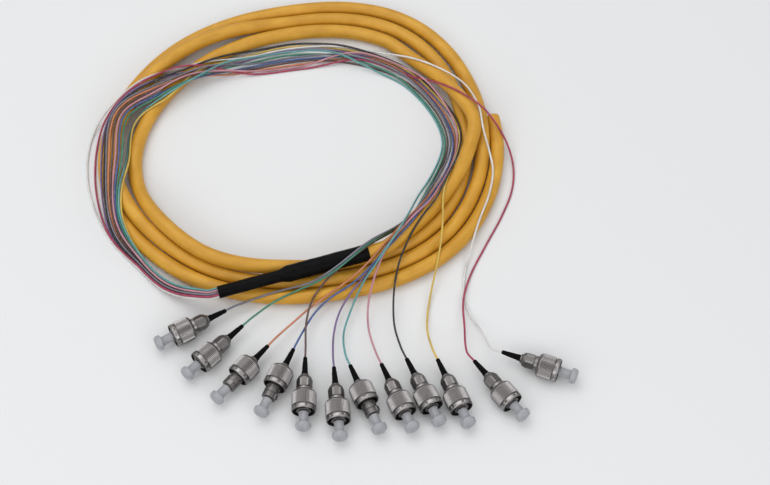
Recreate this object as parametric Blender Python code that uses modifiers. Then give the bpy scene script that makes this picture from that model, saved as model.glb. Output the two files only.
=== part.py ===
"""Fibre breakout cable: a coiled round cable whose twelve fibres fan out of a shrink sleeve to connectors.

Metres, +Z up. The object lies on the floor at z = 0. Its box without the fibres is centred on the origin.
"""
import math

import bpy
import numpy as np

MM = 0.001

# Cable and fibres
CABLE_DIAMETER = 6.5 * MM
FIBRE_DIAMETER = 0.9 * MM
FIBRE_COUNT = 12
CABLE_GAP = 0.35 * MM
FIBRE_GAP = 0.1 * MM
BUNDLE_GAP = 0.2 * MM
END_GAP = 0.3 * MM

# Coil of the cable, seen from above. Its first turn starts at START_ANGLE and all turns run clockwise.
COIL_CENTRE = (-13.85 * MM, 32.0 * MM)
START_ANGLE = math.radians(10.0)
POINTS_PER_TURN = 26
# Distance from the coil's centre to the band's outer edge, at each eighth of a turn from the start
BAND_EDGE = [radius * MM for radius in (94.0, 92.8, 84.5, 88.8, 94.2, 88.0, 84.0, 92.5)]
# How far in from the band's outer edge the cable's middle lies, at each eighth of each turn
TURN_INSETS = [
    [inset * MM for inset in (3.25, 3.25, 3.25, 3.25, 3.25, 3.25, 3.25, 3.4)],
    [inset * MM for inset in (9.4, 10.3, 10.3, 10.3, 7.8, 8.4, 10.3, 11.2)],
    [inset * MM for inset in (17.4, 17.4, 17.4, 14.2, 17.0, 18.6, 17.4, 19.0)],
]
# Last stretch, from the end of the third turn to the sleeve, as plan points about the coil's centre
CABLE_LEAD = [(x * MM, y * MM) for x, y in ((79.5, 11.0), (77.5, -6.0), (70.0, -24.0), (58.5, -40.5), (45.5, -54.5))]

# Shrink sleeve, from its wide end, where the cable goes in, to its narrow end
SLEEVE_START = (31.4 * MM, -63.5 * MM)
SLEEVE_HEADING = math.radians(197.3)
SLEEVE_WIDE_DIAMETER = 7.5 * MM
SLEEVE_WIDE_LENGTH = 37.0 * MM
SLEEVE_STEP_LENGTH = 2.0 * MM
SLEEVE_NARROW_DIAMETER = 5.4 * MM
SLEEVE_NARROW_LENGTH = 28.5 * MM
SLEEVE_SIDES = 16

# Connector, along its axis from the tip of the boot
BOOT_LENGTH = 8.4 * MM
BOOT_TIP_DIAMETER = 1.7 * MM
BOOT_END_DIAMETER = 2.8 * MM
SHELL_REAR_DIAMETER = 4.4 * MM
SHELL_SHOULDER = 2.6 * MM
SHELL_DIAMETER = 6.9 * MM
SHELL_LENGTH = 9.7 * MM
FRONT_BODY_DIAMETER = 6.2 * MM
FRONT_BODY_LENGTH = 7.2 * MM
FERRULE_DIAMETER = 2.5 * MM
FERRULE_LENGTH = 5.0 * MM
NUT_DIAMETER = 10.4 * MM
NUT_LENGTH = 9.4 * MM
NUT_SEAT = 7.6 * MM
NUT_REAR_WALL = 2.0 * MM
NUT_FRONT_WALL = 0.9 * MM
NUT_CLEARANCE = 0.35 * MM
NUT_PULLED_BACK = 6.0 * MM
PULLED_BACK_NUTS = (3, 4, 7)
CAP_BARREL_DIAMETER = 4.0 * MM
CAP_HEAD_DIAMETER = 6.6 * MM
CAP_HEAD_LENGTH = 2.9 * MM
CAP_CLEARANCE = 0.15 * MM
CAP_BARREL_SHOWN = 5.1 * MM
APPROACH = 4.5 * MM
NUT_SIDES = 16
BODY_SIDES = 10
CAP_SIDES = 10

# Tip of each boot about the coil's centre, and the way its connector points
CONNECTOR_POSES = {
    1: (-29.9, -89.2, -150.0),
    2: (-22.3, -96.7, -134.0),
    3: (-11.0, -106.4, -129.5),
    4: (-0.1, -108.0, -113.0),
    5: (5.0, -112.1, -90.0),
    6: (17.2, -116.6, -84.5),
    7: (24.0, -115.7, -67.0),
    8: (37.2, -115.1, -66.5),
    9: (47.9, -112.6, -65.5),
    10: (61.0, -112.9, -67.5),
    11: (76.5, -113.6, -52.5),
    12: (88.4, -109.4, -21.0),
}

COLOUR_OF = {
    1: "slate", 2: "green", 3: "orange", 4: "blue", 5: "brown", 6: "violet",
    7: "aqua", 8: "rose", 9: "black", 10: "yellow", 11: "red", 12: "white",
}

# Way round the coil: distance from the coil's centre in mm at each of these angles in degrees
LOOP_ANGLES = (-137, -151, -171, 172, 158, 143, 120, 92, 60, 35, 4)
LOOP_RADII = {
    1: (94.6, 95.2, 89.2, 88.0, 76.8, 66.0, 56.0, 54.5, 59.0, 64.8, 69.6),
    2: (92.9, 91.2, 82.2, 81.2, 70.8, 62.5, 57.2, 56.0, 57.8, 62.2, 67.0),
    3: (94.3, 94.4, 87.8, 86.6, 75.6, 65.0, 52.4, 50.0, 61.6, 66.6, 71.8),
    4: (93.2, 92.0, 83.6, 82.6, 72.0, 63.6, 55.0, 53.0, 60.4, 65.6, 70.8),
    5: (93.9, 93.6, 86.4, 85.2, 74.4, 64.4, 53.6, 51.5, 56.6, 63.4, 68.2),
    6: (95.4, 96.8, 92.2, 90.4, 79.4, 67.5, 59.6, 59.0, 62.8, 67.8, 73.0),
    7: (92.5, 90.4, 80.8, 79.8, 69.4, 61.8, 58.4, 57.5, 55.4, 61.0, 65.8),
    8: (93.6, 92.8, 85.0, 83.8, 73.2, 64.0, 51.2, 48.5, 62.2, 67.2, 72.4),
    9: (95.0, 96.0, 90.7, 89.4, 78.2, 68.6, 63.0, 62.8, 64.2, 69.0, 74.0),
    10: (92.1, 89.6, 79.4, 78.4, 68.0, 65.6, 61.8, 61.2, 63.4, 68.4, 73.4),
    11: (95.8, 97.7, 96.0, 93.4, 80.8, 69.4, 50.0, 47.0, 58.6, 67.0),
    12: (96.2, 98.6, 99.6, 96.6, 82.2, 70.6, 60.8, 60.0, 66.0, 74.0),
}
# Fan out to the connectors: plan points in mm about the coil's centre
FAN_OUT = {
    1: ((57.0, -28.0), (46.0, -45.5), (34.0, -59.5), (22.0, -69.5), (8.0, -77.0), (-6.0, -80.5)),
    2: ((55.8, -28.8), (44.5, -47.5), (31.5, -62.5), (21.6, -70.8), (10.9, -76.8), (0.0, -81.0), (-10.0, -86.0)),
    3: ((58.2, -29.6), (48.6, -47.6), (39.8, -60.0), (32.4, -68.4), (23.6, -75.8), (14.3, -82.0), (5.0, -88.8)),
    4: ((60.0, -30.4), (50.5, -49.0), (41.5, -61.5), (34.0, -70.0), (25.0, -77.5), (15.5, -83.0), (8.5, -90.0)),
    5: ((54.6, -31.6), (42.5, -50.0), (30.1, -64.0), (20.5, -71.0), (12.5, -77.5), (7.5, -84.5), (5.0, -95.0)),
    6: ((58.6, -32.6), (47.0, -51.5), (38.5, -64.0), (31.0, -73.5), (24.0, -81.0), (19.0, -89.5), (16.8, -100.0)),
    7: ((53.5, -30.5), (48.5, -47.0), (42.5, -60.0), (36.0, -69.5), (29.0, -78.0), (24.0, -88.5), (21.0, -100.0)),
    8: ((61.2, -33.0), (51.5, -46.0), (43.5, -57.5), (38.0, -67.0), (33.8, -77.0), (31.5, -87.0), (31.8, -98.0)),
    9: ((63.0, -33.6), (55.0, -46.0), (49.0, -57.0), (45.0, -67.0), (43.0, -77.0), (42.4, -87.0), (43.0, -97.0)),
    10: ((65.0, -33.0), (64.5, -45.0), (63.5, -56.0), (61.5, -67.0), (59.0, -78.0), (57.4, -88.0), (57.0, -98.0)),
    11: (
        (67.5, 27.5), (77.0, 19.5), (87.5, 11.0), (95.0, 1.0), (98.0, -10.0), (97.0, -23.0), (91.5, -38.0),
        (83.5, -54.0), (76.5, -69.0), (73.0, -82.0), (73.0, -95.0),
    ),
    12: (
        (75.5, 31.0), (82.0, 16.0), (84.0, 3.0), (86.5, -7.0), (88.0, -17.0), (85.8, -30.0), (80.5, -45.0),
        (76.5, -58.0), (73.8, -69.5), (73.6, -79.5), (75.6, -88.5), (80.2, -98.0),
    ),
}
# The fibres side by side as they leave the sleeve, the outermost of the coil first. They lie there in three
# levels, and the lowest level is laid first.
SIDE_ORDER = (12, 11, 6, 9, 1, 3, 5, 8, 4, 2, 7, 10)
LEVELS = 3
BUNDLE_WAY = ((-42.5, -83.3), (-50.0, -80.2), (-58.5, -74.6))
FIBRE_POINT_COUNT = 60
# How far a strand bridges from what it rests on: its bending stiffness over its weight for each metre, in m3
CABLE_STIFFNESS = 8e-6
FIBRE_STIFFNESS = 4e-6
# Stiffness of what holds a strand's ends and of what it rests on, over the strand's weight for each metre
HOLD = 1e6
CONTACT = 4e4


def smooth_through(points, count):
    """Give count points, evenly spaced, on a smooth curve through the given points."""
    points = np.asarray(points, float)
    gaps = np.linalg.norm(np.diff(points, axis=0), axis=1) ** 0.5
    knots = np.concatenate([[0.0], np.cumsum(gaps)])
    before = points[0] + (points[0] - points[1])
    after = points[-1] + (points[-1] - points[-2])
    ring = np.vstack([before, points, after])
    times = np.concatenate([[-gaps[0]], knots, [knots[-1] + gaps[-1]]])
    dense = []
    for i in range(1, len(ring) - 2):
        t0, t1, t2, t3 = times[i - 1:i + 3]
        p0, p1, p2, p3 = ring[i - 1:i + 3]
        for t in np.linspace(t1, t2, 24, endpoint=False):
            a1 = ((t1 - t) * p0 + (t - t0) * p1) / (t1 - t0)
            a2 = ((t2 - t) * p1 + (t - t1) * p2) / (t2 - t1)
            a3 = ((t3 - t) * p2 + (t - t2) * p3) / (t3 - t2)
            b1 = ((t2 - t) * a1 + (t - t0) * a2) / (t2 - t0)
            b2 = ((t3 - t) * a2 + (t - t1) * a3) / (t3 - t1)
            dense.append(((t2 - t) * b1 + (t - t1) * b2) / (t2 - t1))
    dense.append(points[-1])
    return along_curve(np.array(dense), count)


def along_curve(dense, count):
    """Give count points, evenly spaced, on a run of close points."""
    along = np.concatenate([[0.0], np.cumsum(np.linalg.norm(np.diff(dense, axis=0), axis=1))])
    wanted = np.linspace(0.0, along[-1], count)
    return np.column_stack([np.interp(wanted, along, dense[:, k]) for k in range(dense.shape[1])])


def nearest(dense, place):
    return int(np.argmin(np.hypot(*(dense - place).T)))


def samples_of(plan, spacing):
    """Split a run of points into short steps: segment index and share along it for each sample."""
    segment = []
    share = []
    for i, length in enumerate(np.linalg.norm(np.diff(plan, axis=0), axis=1)):
        steps = max(1, math.ceil(length / spacing))
        for k in range(steps):
            segment.append(i)
            share.append(k / steps)
    segment.append(len(plan) - 2)
    share.append(1.0)
    return np.array(segment), np.array(share)


def at_samples(values, segment, share):
    """Read a value along a run of points at its samples."""
    values = np.asarray(values, float)
    first = values[segment]
    second = values[segment + 1]
    if values.ndim == 2:
        share = share[:, None]
    return first * (1 - share) + second * share


class Pile:
    """What lies on the floor so far, as samples along each strand, and how the next strand lies on it."""

    def __init__(self):
        self.middle = np.zeros((0, 3))
        self.radius = np.zeros(0)

    def add(self, points, radius, spacing=1.0 * MM):
        segment, share = samples_of(points[:, :2], spacing)
        self.middle = np.vstack([self.middle, at_samples(points, segment, share)])
        self.radius = np.concatenate([self.radius, np.full(len(segment), radius)])

    def lowest(self, spots, radius, gap):
        """Lowest height at each spot where a strand of this radius clears the floor and all that lies there."""
        heights = np.full(len(spots), radius)
        reach = self.radius + radius + gap
        for i, spot in enumerate(spots):
            distance = np.hypot(self.middle[:, 0] - spot[0], self.middle[:, 1] - spot[1])
            close = distance < reach
            if close.any():
                tops = self.middle[close, 2] + np.sqrt(reach[close] ** 2 - distance[close] ** 2)
                heights[i] = max(radius, tops.max())
        return heights

    def lay(self, plan, radius, gap, stiffness, held=None, on_itself=False, free=0.0, spacing=1.0 * MM):
        """Heights of the plan's points: a springy strand that its weight bends over the floor and what lies there.

        Points in held keep their height, and the first stretch, of the length free, passes what it comes out of.
        """
        segment, share = samples_of(plan, spacing)
        steps = np.linalg.norm(np.diff(plan, axis=0), axis=1)
        count = len(plan)
        reading = np.zeros((len(segment), count))
        reading[np.arange(len(segment)), segment] = 1 - share
        reading[np.arange(len(segment)), segment + 1] += share
        spots = reading @ plan
        along = reading @ np.concatenate([[0.0], np.cumsum(steps)])
        limits = self.lowest(spots, radius, gap)
        limits[along < free] = radius
        rows = reading
        if on_itself:
            later, earlier, apart = own_pairs(spots, along, 2 * radius + gap)
            rows = np.vstack([reading, reading[later] - reading[earlier]])
            limits = np.concatenate([limits, apart])
        bending = np.zeros((count - 2, count))
        for i, (before, after) in enumerate(zip(steps[:-1], steps[1:])):
            weight = math.sqrt(2 * stiffness / (before + after))
            bending[i, i:i + 3] = (weight / before, -weight / before - weight / after, weight / after)
        stiff = bending.T @ bending
        pull = -(np.append(steps, 0.0) + np.append(0.0, steps)) / 2
        for index, height in (held or {}).items():
            stiff[index, index] += HOLD
            pull[index] += HOLD * height
        pressed = np.ones(len(rows), bool)
        for _ in range(80):
            touching = rows[pressed]
            heights = np.linalg.solve(
                stiff + CONTACT * touching.T @ touching, pull + CONTACT * touching.T @ limits[pressed]
            )
            sunk = rows @ heights < limits
            if (sunk == pressed).all():
                break
            pressed = sunk
        return np.maximum(heights, radius)


def own_pairs(spots, along, reach):
    """Pairs of a later and an earlier sample of one strand that come close to each other in plan."""
    later = []
    earlier = []
    apart = []
    for i in range(len(spots)):
        before = np.flatnonzero(along[:i] < along[i] - 8 * reach)
        distance = np.hypot(*(spots[before] - spots[i]).T)
        close = distance < reach
        later.append(np.full(close.sum(), i))
        earlier.append(before[close])
        apart.append(np.sqrt(reach ** 2 - distance[close] ** 2))
    return np.concatenate(later).astype(int), np.concatenate(earlier).astype(int), np.concatenate(apart)


def eighths(values, position):
    """Read a list given at each eighth of a turn at any place between, smoothly."""
    index = int(math.floor(position))
    share = position - index
    p0, p1, p2, p3 = (values[min(max(index + k, 0), len(values) - 1)] for k in (-1, 0, 1, 2))
    a = 2 * p1
    b = p2 - p0
    c = 2 * p0 - 5 * p1 + 4 * p2 - p3
    d = 3 * p1 - p0 - 3 * p2 + p3
    return 0.5 * (a + b * share + c * share ** 2 + d * share ** 3)


def cable_plan():
    """Plan of the cable about the coil's centre: its turns, then the lead to the sleeve."""
    insets = [inset for turn in TURN_INSETS for inset in turn]
    edge = BAND_EDGE * len(TURN_INSETS)
    turns = []
    for step in range(POINTS_PER_TURN * len(TURN_INSETS) - POINTS_PER_TURN // 8):
        position = 8 * step / POINTS_PER_TURN
        radius = eighths(edge, position) - eighths(insets, position)
        angle = START_ANGLE - position * math.pi / 4
        turns.append((radius * math.cos(angle), radius * math.sin(angle)))
    heading = (math.cos(SLEEVE_HEADING), math.sin(SLEEVE_HEADING))
    ends = [
        (SLEEVE_START[0] - back * heading[0], SLEEVE_START[1] - back * heading[1]) for back in (8.0 * MM, END_GAP)
    ]
    lead = smooth_through(turns[-3:] + CABLE_LEAD + ends, 400)
    begin = np.argmin(np.hypot(*(lead - turns[-1]).T))
    finish = np.argmin(np.hypot(*(lead - ends[0]).T))
    lead = lead[begin:finish + 1]
    length = np.linalg.norm(np.diff(lead, axis=0), axis=1).sum()
    spacing = np.linalg.norm(np.subtract(turns[-1], turns[-2]))
    keep = np.linspace(0, len(lead) - 1, int(round(length / spacing)) + 1).round().astype(int)
    return np.vstack([turns, lead[keep[1:]], ends[1:]])


def sleeve_profile():
    """Distance along the sleeve and radius there, from the wide end."""
    wide = SLEEVE_WIDE_DIAMETER / 2
    narrow = SLEEVE_NARROW_DIAMETER / 2
    step = SLEEVE_WIDE_LENGTH + SLEEVE_STEP_LENGTH
    return [(0.0, wide), (SLEEVE_WIDE_LENGTH, wide), (step, narrow), (step + SLEEVE_NARROW_LENGTH, narrow)]


def sleeve_heights(pile):
    """Heights of the sleeve's two ends: the lowest straight line that clears all that it lies on."""
    profile = sleeve_profile()
    length = profile[-1][0]
    needs = []
    for along in np.arange(0.0, length, 1.0 * MM):
        radius = np.interp(along, [p[0] for p in profile], [p[1] for p in profile])
        x = SLEEVE_START[0] + along * math.cos(SLEEVE_HEADING)
        y = SLEEVE_START[1] + along * math.sin(SLEEVE_HEADING)
        reach = pile.radius + radius + CABLE_GAP
        distance = np.hypot(pile.middle[:, 0] - x, pile.middle[:, 1] - y)
        close = distance < reach
        top = pile.middle[close, 2] + np.sqrt(reach[close] ** 2 - distance[close] ** 2)
        needs.append((along, max(top.max() if len(top) else 0.0, radius)))
    best = None
    for start in np.arange(4.0, 24.0, 0.25) * MM:
        end = max((need - start * (1 - along / length)) * length / along for along, need in needs if along > 0)
        end = max(end, SLEEVE_NARROW_DIAMETER / 2)
        if start < needs[0][1]:
            continue
        cost = start + end + 0.3 * abs(start - end)
        if best is None or cost < best[0]:
            best = (cost, start, end)
    return best[1], best[2]


def fibre_level(number):
    return (SIDE_ORDER.index(number) + 1) % LEVELS


def lay_order():
    return sorted(SIDE_ORDER, key=fibre_level)


def fibre_exit(number):
    """Place of a fibre in the bundle at the sleeve's narrow end: towards the coil's middle, and up."""
    pitch = FIBRE_DIAMETER + BUNDLE_GAP
    sideways = pitch / LEVELS
    offset = (SIDE_ORDER.index(number) - (FIBRE_COUNT - 1) / 2) * sideways
    return offset, (fibre_level(number) - (LEVELS - 1) / 2) * math.sqrt(pitch ** 2 - sideways ** 2)


def connector_pose(number):
    x, y, degrees = CONNECTOR_POSES[number]
    return x * MM, y * MM, math.radians(degrees)


def axis_height():
    """Height of a connector's axis, lying on one flat of its nut."""
    return NUT_DIAMETER / 2 * math.cos(math.pi / NUT_SIDES)


def fibre_plan(number, count):
    """Plan of one fibre about the coil's centre, from the sleeve to the tip of its boot."""
    heading = np.array([math.cos(SLEEVE_HEADING), math.sin(SLEEVE_HEADING)])
    sideways = np.array([heading[1], -heading[0]])
    offset, _ = fibre_exit(number)
    end = np.array(SLEEVE_START) + heading * (sleeve_profile()[-1][0] + END_GAP)
    start = end + sideways * offset
    route = [start, start + heading * 3.5 * MM]
    spread = offset
    for x, y in BUNDLE_WAY:
        out = np.array([x, y]) / math.hypot(x, y)
        route.append(np.array([x, y]) * MM - out * spread)
    for angle, radius in zip(LOOP_ANGLES, LOOP_RADII[number]):
        turn = math.radians(angle)
        route.append(np.array([radius * math.cos(turn), radius * math.sin(turn)]) * MM)
    route += [np.array(point) * MM for point in FAN_OUT[number]]
    x, y, turn = connector_pose(number)
    tip, back = (np.array([x - gap * math.cos(turn), y - gap * math.sin(turn)]) for gap in (END_GAP, APPROACH))
    curve = smooth_through(route + [back, tip], 40 * count)
    return np.vstack([along_curve(curve[:nearest(curve, back) + 1], count - 1), tip])


def lay_everything():
    """Points of the cable and of each fibre, and the heights of the sleeve's ends."""
    pile = Pile()
    plan = cable_plan()
    radius = CABLE_DIAMETER / 2
    heights = pile.lay(plan, radius, CABLE_GAP, CABLE_STIFFNESS, on_itself=True)
    seat = Pile()
    body = np.column_stack([plan, heights])
    seat.add(body[:-4], radius)
    start, end = sleeve_heights(seat)
    last = len(plan) - 1
    slope = (end - start) / sleeve_profile()[-1][0]
    held = {last: start - slope * END_GAP, last - 1: start - slope * 8.0 * MM}
    heights = pile.lay(plan, radius, CABLE_GAP, CABLE_STIFFNESS, held, True)
    cable = np.column_stack([plan, heights])
    pile.add(cable, radius)
    heading = np.array([math.cos(SLEEVE_HEADING), math.sin(SLEEVE_HEADING)])
    length = sleeve_profile()[-1][0]
    sleeve = np.array([
        [*(np.array(SLEEVE_START) + heading * along), start + (end - start) * along / length]
        for along in (0.0, length)
    ])
    pile.add(sleeve[:1] + (sleeve[1:] - sleeve[:1]) * np.array([[0.0], [0.55]]), SLEEVE_WIDE_DIAMETER / 2)
    pile.add(sleeve[:1] + (sleeve[1:] - sleeve[:1]) * np.array([[0.55], [1.0]]), SLEEVE_NARROW_DIAMETER / 2)
    fibres = {}
    for number in lay_order():
        plan = fibre_plan(number, FIBRE_POINT_COUNT)
        exit_height = end + fibre_exit(number)[1]
        last = len(plan) - 1
        held = {0: exit_height, 1: exit_height, last - 1: axis_height(), last: axis_height()}
        heights = pile.lay(plan, FIBRE_DIAMETER / 2, FIBRE_GAP, FIBRE_STIFFNESS, held, free=6.0 * MM)
        fibres[number] = np.column_stack([plan, heights])
        pile.add(fibres[number], FIBRE_DIAMETER / 2)
    return cable, (start, end), fibres


def clear_scene():
    for obj in list(bpy.data.objects):
        bpy.data.objects.remove(obj, do_unlink=True)


def material(name, colour, roughness, metallic=0.0):
    made = bpy.data.materials.new(name)
    made.use_nodes = True
    shader = made.node_tree.nodes["Principled BSDF"]
    shader.inputs["Base Color"].default_value = (*colour, 1.0)
    shader.inputs["Roughness"].default_value = roughness
    shader.inputs["Metallic"].default_value = metallic
    return made


def collection(name):
    made = bpy.data.collections.new(name)
    bpy.context.scene.collection.children.link(made)
    return made


def empty_at(name, parts, location, rotation=(0.0, 0.0, 0.0), parent=None):
    made = bpy.data.objects.new(name, None)
    made.location = location
    made.rotation_euler = rotation
    made.parent = parent
    parts.objects.link(made)
    return made


def tube(name, points, diameter, resolution, look, parts, parent):
    """A cord as a round tube through its points, with closed ends."""
    curve = bpy.data.curves.new(name, "CURVE")
    curve.dimensions = "3D"
    curve.bevel_depth = diameter / 2
    curve.bevel_resolution = resolution
    curve.use_fill_caps = True
    line = curve.splines.new("POLY")
    line.points.add(len(points) - 1)
    for point, place in zip(line.points, points):
        point.co = (*place, 1.0)
    curve.materials.append(look)
    made = bpy.data.objects.new(name, curve)
    made.parent = parent
    parts.objects.link(made)
    return made


def turned(name, profile, sides, look, parts, parent, closed=False):
    """A turned piece: its profile, as radius and height, runs down the outer side and is screwed round Z."""
    half_side = math.pi / sides
    mesh = bpy.data.meshes.new(name)
    corners = [(r * math.cos(half_side), r * math.sin(half_side), z) for r, z in profile]
    edges = [(i, i + 1) for i in range(len(profile) - 1)]
    if closed:
        edges.append((len(profile) - 1, 0))
    mesh.from_pydata(corners, edges, [])
    mesh.materials.append(look)
    made = bpy.data.objects.new(name, mesh)
    made.parent = parent
    parts.objects.link(made)
    screw = made.modifiers.new("turn", "SCREW")
    screw.steps = sides
    screw.render_steps = sides
    screw.use_merge_vertices = True
    screw.merge_threshold = 0.00001
    screw.use_smooth_shade = True
    return made


def make_sleeve(parts, centre, look, ends):
    """The shrink sleeve: one solid with a wide and a narrow part, lying over the band of the coil."""
    start, end = ends
    length = sleeve_profile()[-1][0]
    pitch = math.atan2(end - start, length)
    seat = empty_at(
        "sleeve_seat", parts, (*SLEEVE_START, start), (0.0, math.pi / 2 - pitch, SLEEVE_HEADING), centre
    )
    profile = [(radius, along) for along, radius in sleeve_profile()]
    profile = [(0.0, length)] + profile[::-1] + [(0.0, 0.0)]
    turned("breakout_sleeve", profile, SLEEVE_SIDES, look, parts, seat)


def body_profile():
    """Ferrule, front body, shell and boot of a connector, from the ferrule's tip down to the boot's tip."""
    shell_start = BOOT_LENGTH
    front_start = shell_start + SHELL_LENGTH
    ferrule_start = front_start + FRONT_BODY_LENGTH
    tip = ferrule_start + FERRULE_LENGTH
    return [
        (0.0, tip),
        (FERRULE_DIAMETER / 2, tip),
        (FERRULE_DIAMETER / 2, ferrule_start),
        (FRONT_BODY_DIAMETER / 2, ferrule_start),
        (FRONT_BODY_DIAMETER / 2, front_start),
        (SHELL_DIAMETER / 2, front_start),
        (SHELL_DIAMETER / 2, shell_start + SHELL_SHOULDER),
        (SHELL_REAR_DIAMETER / 2, shell_start),
        (BOOT_END_DIAMETER / 2, shell_start),
        (BOOT_TIP_DIAMETER / 2, 0.0),
        (0.0, 0.0),
    ]


def nut_profile(number):
    """Coupling nut: a rear wall round the shell and a wide front cavity."""
    rear = BOOT_LENGTH + NUT_SEAT
    if number in PULLED_BACK_NUTS:
        rear -= NUT_PULLED_BACK
    front = rear + NUT_LENGTH
    outer = NUT_DIAMETER / 2
    facet = math.cos(math.pi / NUT_SIDES)
    hole = (SHELL_DIAMETER / 2 + NUT_CLEARANCE) / facet
    cavity = outer - NUT_FRONT_WALL
    return [
        (outer, front),
        (outer, rear),
        (hole, rear),
        (hole, rear + NUT_REAR_WALL),
        (cavity, rear + NUT_REAR_WALL),
        (cavity, front),
    ]


def cap_profile():
    """Dust cap: a mushroom head on a barrel whose blind bore slips over the ferrule."""
    front_of_nut = BOOT_LENGTH + NUT_SEAT + NUT_LENGTH
    shoulder = front_of_nut + CAP_BARREL_SHOWN
    body_front = BOOT_LENGTH + SHELL_LENGTH + FRONT_BODY_LENGTH
    rear = body_front + END_GAP
    facet = math.cos(math.pi / CAP_SIDES)
    bore = (FERRULE_DIAMETER / 2 + CAP_CLEARANCE) / facet
    bottom = body_front + FERRULE_LENGTH + END_GAP
    return [
        (0.0, shoulder + CAP_HEAD_LENGTH),
        (CAP_HEAD_DIAMETER / 2 * 0.8, shoulder + CAP_HEAD_LENGTH),
        (CAP_HEAD_DIAMETER / 2, shoulder + CAP_HEAD_LENGTH * 0.6),
        (CAP_HEAD_DIAMETER / 2, shoulder),
        (CAP_BARREL_DIAMETER / 2, shoulder),
        (CAP_BARREL_DIAMETER / 2, rear),
        (bore, rear),
        (bore, bottom),
        (0.0, bottom),
    ]


def make_connector(number, parts, centre, looks):
    x, y, turn = connector_pose(number)
    seat = empty_at(f"connector_{number}_axis", parts, (x, y, axis_height()), (0.0, math.pi / 2, turn), centre)
    turned(f"connector_body_{number}", body_profile(), BODY_SIDES, looks["nickel"], parts, seat)
    turned(f"coupling_nut_{number}", nut_profile(number), NUT_SIDES, looks["nickel"], parts, seat, closed=True)
    turned(f"dust_cap_{number}", cap_profile(), CAP_SIDES, looks["cap"], parts, seat)


FIBRE_COLOURS = {
    "blue": (0.02, 0.12, 0.45), "orange": (0.80, 0.22, 0.03), "green": (0.03, 0.30, 0.10),
    "brown": (0.17, 0.07, 0.03), "slate": (0.22, 0.25, 0.28), "white": (0.80, 0.80, 0.78),
    "red": (0.55, 0.03, 0.04), "black": (0.02, 0.02, 0.02), "yellow": (0.80, 0.62, 0.06),
    "violet": (0.22, 0.08, 0.35), "rose": (0.75, 0.35, 0.42), "aqua": (0.10, 0.52, 0.52),
}


def main():
    clear_scene()
    parts = collection("fibre_breakout_cable")
    looks = {
        "jacket": material("cable_jacket", (0.72, 0.38, 0.03), 0.45),
        "sleeve": material("shrink_sleeve", (0.02, 0.02, 0.025), 0.5),
        "nickel": material("nickel_plate", (0.62, 0.60, 0.57), 0.3, 1.0),
        "cap": material("dust_cap_plastic", (0.42, 0.46, 0.50), 0.35),
    }
    for colour, value in FIBRE_COLOURS.items():
        looks[colour] = material("fibre_" + colour, value, 0.4)
    cable, ends, fibres = lay_everything()
    centre = empty_at("coil_centre", parts, (*COIL_CENTRE, 0.0))
    tube("cable_jacket", cable, CABLE_DIAMETER, 3, looks["jacket"], parts, centre)
    make_sleeve(parts, centre, looks["sleeve"], ends)
    for number in range(1, FIBRE_COUNT + 1):
        name = f"fibre_{number}_{COLOUR_OF[number]}"
        tube(name, fibres[number], FIBRE_DIAMETER, 2, looks[COLOUR_OF[number]], parts, centre)
        make_connector(number, parts, centre, looks)


main()
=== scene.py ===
"""Looks of the fibre breakout cable: jacket, shrink sleeve, twelve fibres and their capped connectors."""

import math

import bmesh
import bpy
import numpy as np
from mathutils import Matrix, Vector, noise


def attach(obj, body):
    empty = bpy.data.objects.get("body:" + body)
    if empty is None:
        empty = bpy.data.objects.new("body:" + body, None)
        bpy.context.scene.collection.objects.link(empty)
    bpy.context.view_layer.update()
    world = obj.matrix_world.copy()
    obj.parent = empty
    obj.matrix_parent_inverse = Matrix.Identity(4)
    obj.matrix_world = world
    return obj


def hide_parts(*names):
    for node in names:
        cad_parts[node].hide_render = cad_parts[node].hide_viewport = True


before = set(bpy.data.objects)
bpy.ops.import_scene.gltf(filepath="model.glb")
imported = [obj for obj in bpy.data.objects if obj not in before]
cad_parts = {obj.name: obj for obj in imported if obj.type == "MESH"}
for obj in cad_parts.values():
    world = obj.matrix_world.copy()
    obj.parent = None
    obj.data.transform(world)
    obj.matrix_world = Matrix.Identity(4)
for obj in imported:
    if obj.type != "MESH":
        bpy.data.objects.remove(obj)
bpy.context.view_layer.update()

MM = 0.001

# View: its angle above the floor, its distance, and what it aims at in mm about the coil's centre
VIEW_ANGLE = math.radians(58.0)
VIEW_DISTANCE = 0.671
VIEW_AIM = (38.78, -51.42, 0.0)

# Brightness of the room behind the object, from its floor to overhead: position, then colour
ROOM_STOPS = ((0.12, 0.46, 0.46, 0.47), (0.5, 0.84, 0.84, 0.85), (1.0, 1.0, 1.0, 1.0))
ROOM_STRENGTH = 0.87
FLOOR_REACH = 2.0

# Cable and fibres
CABLE_DIAMETER = 6.5 * MM
JACKET_WALL = 0.85 * MM
FIBRE_DIAMETER = 0.9 * MM
CABLE_GAP = 0.35 * MM
FIBRE_GAP = 0.1 * MM
BUNDLE_GAP = 0.2 * MM
END_GAP = 0.3 * MM
CABLE_PATH_POINTS = 900
FIBRE_PATH_POINTS = 420

# Fibres in the cable's cut end: how many stand in each ring, its radius in mm, and where it starts
CORE_RINGS = ((9, 1.66, 0.0), (3, 0.62, 0.5))

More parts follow.
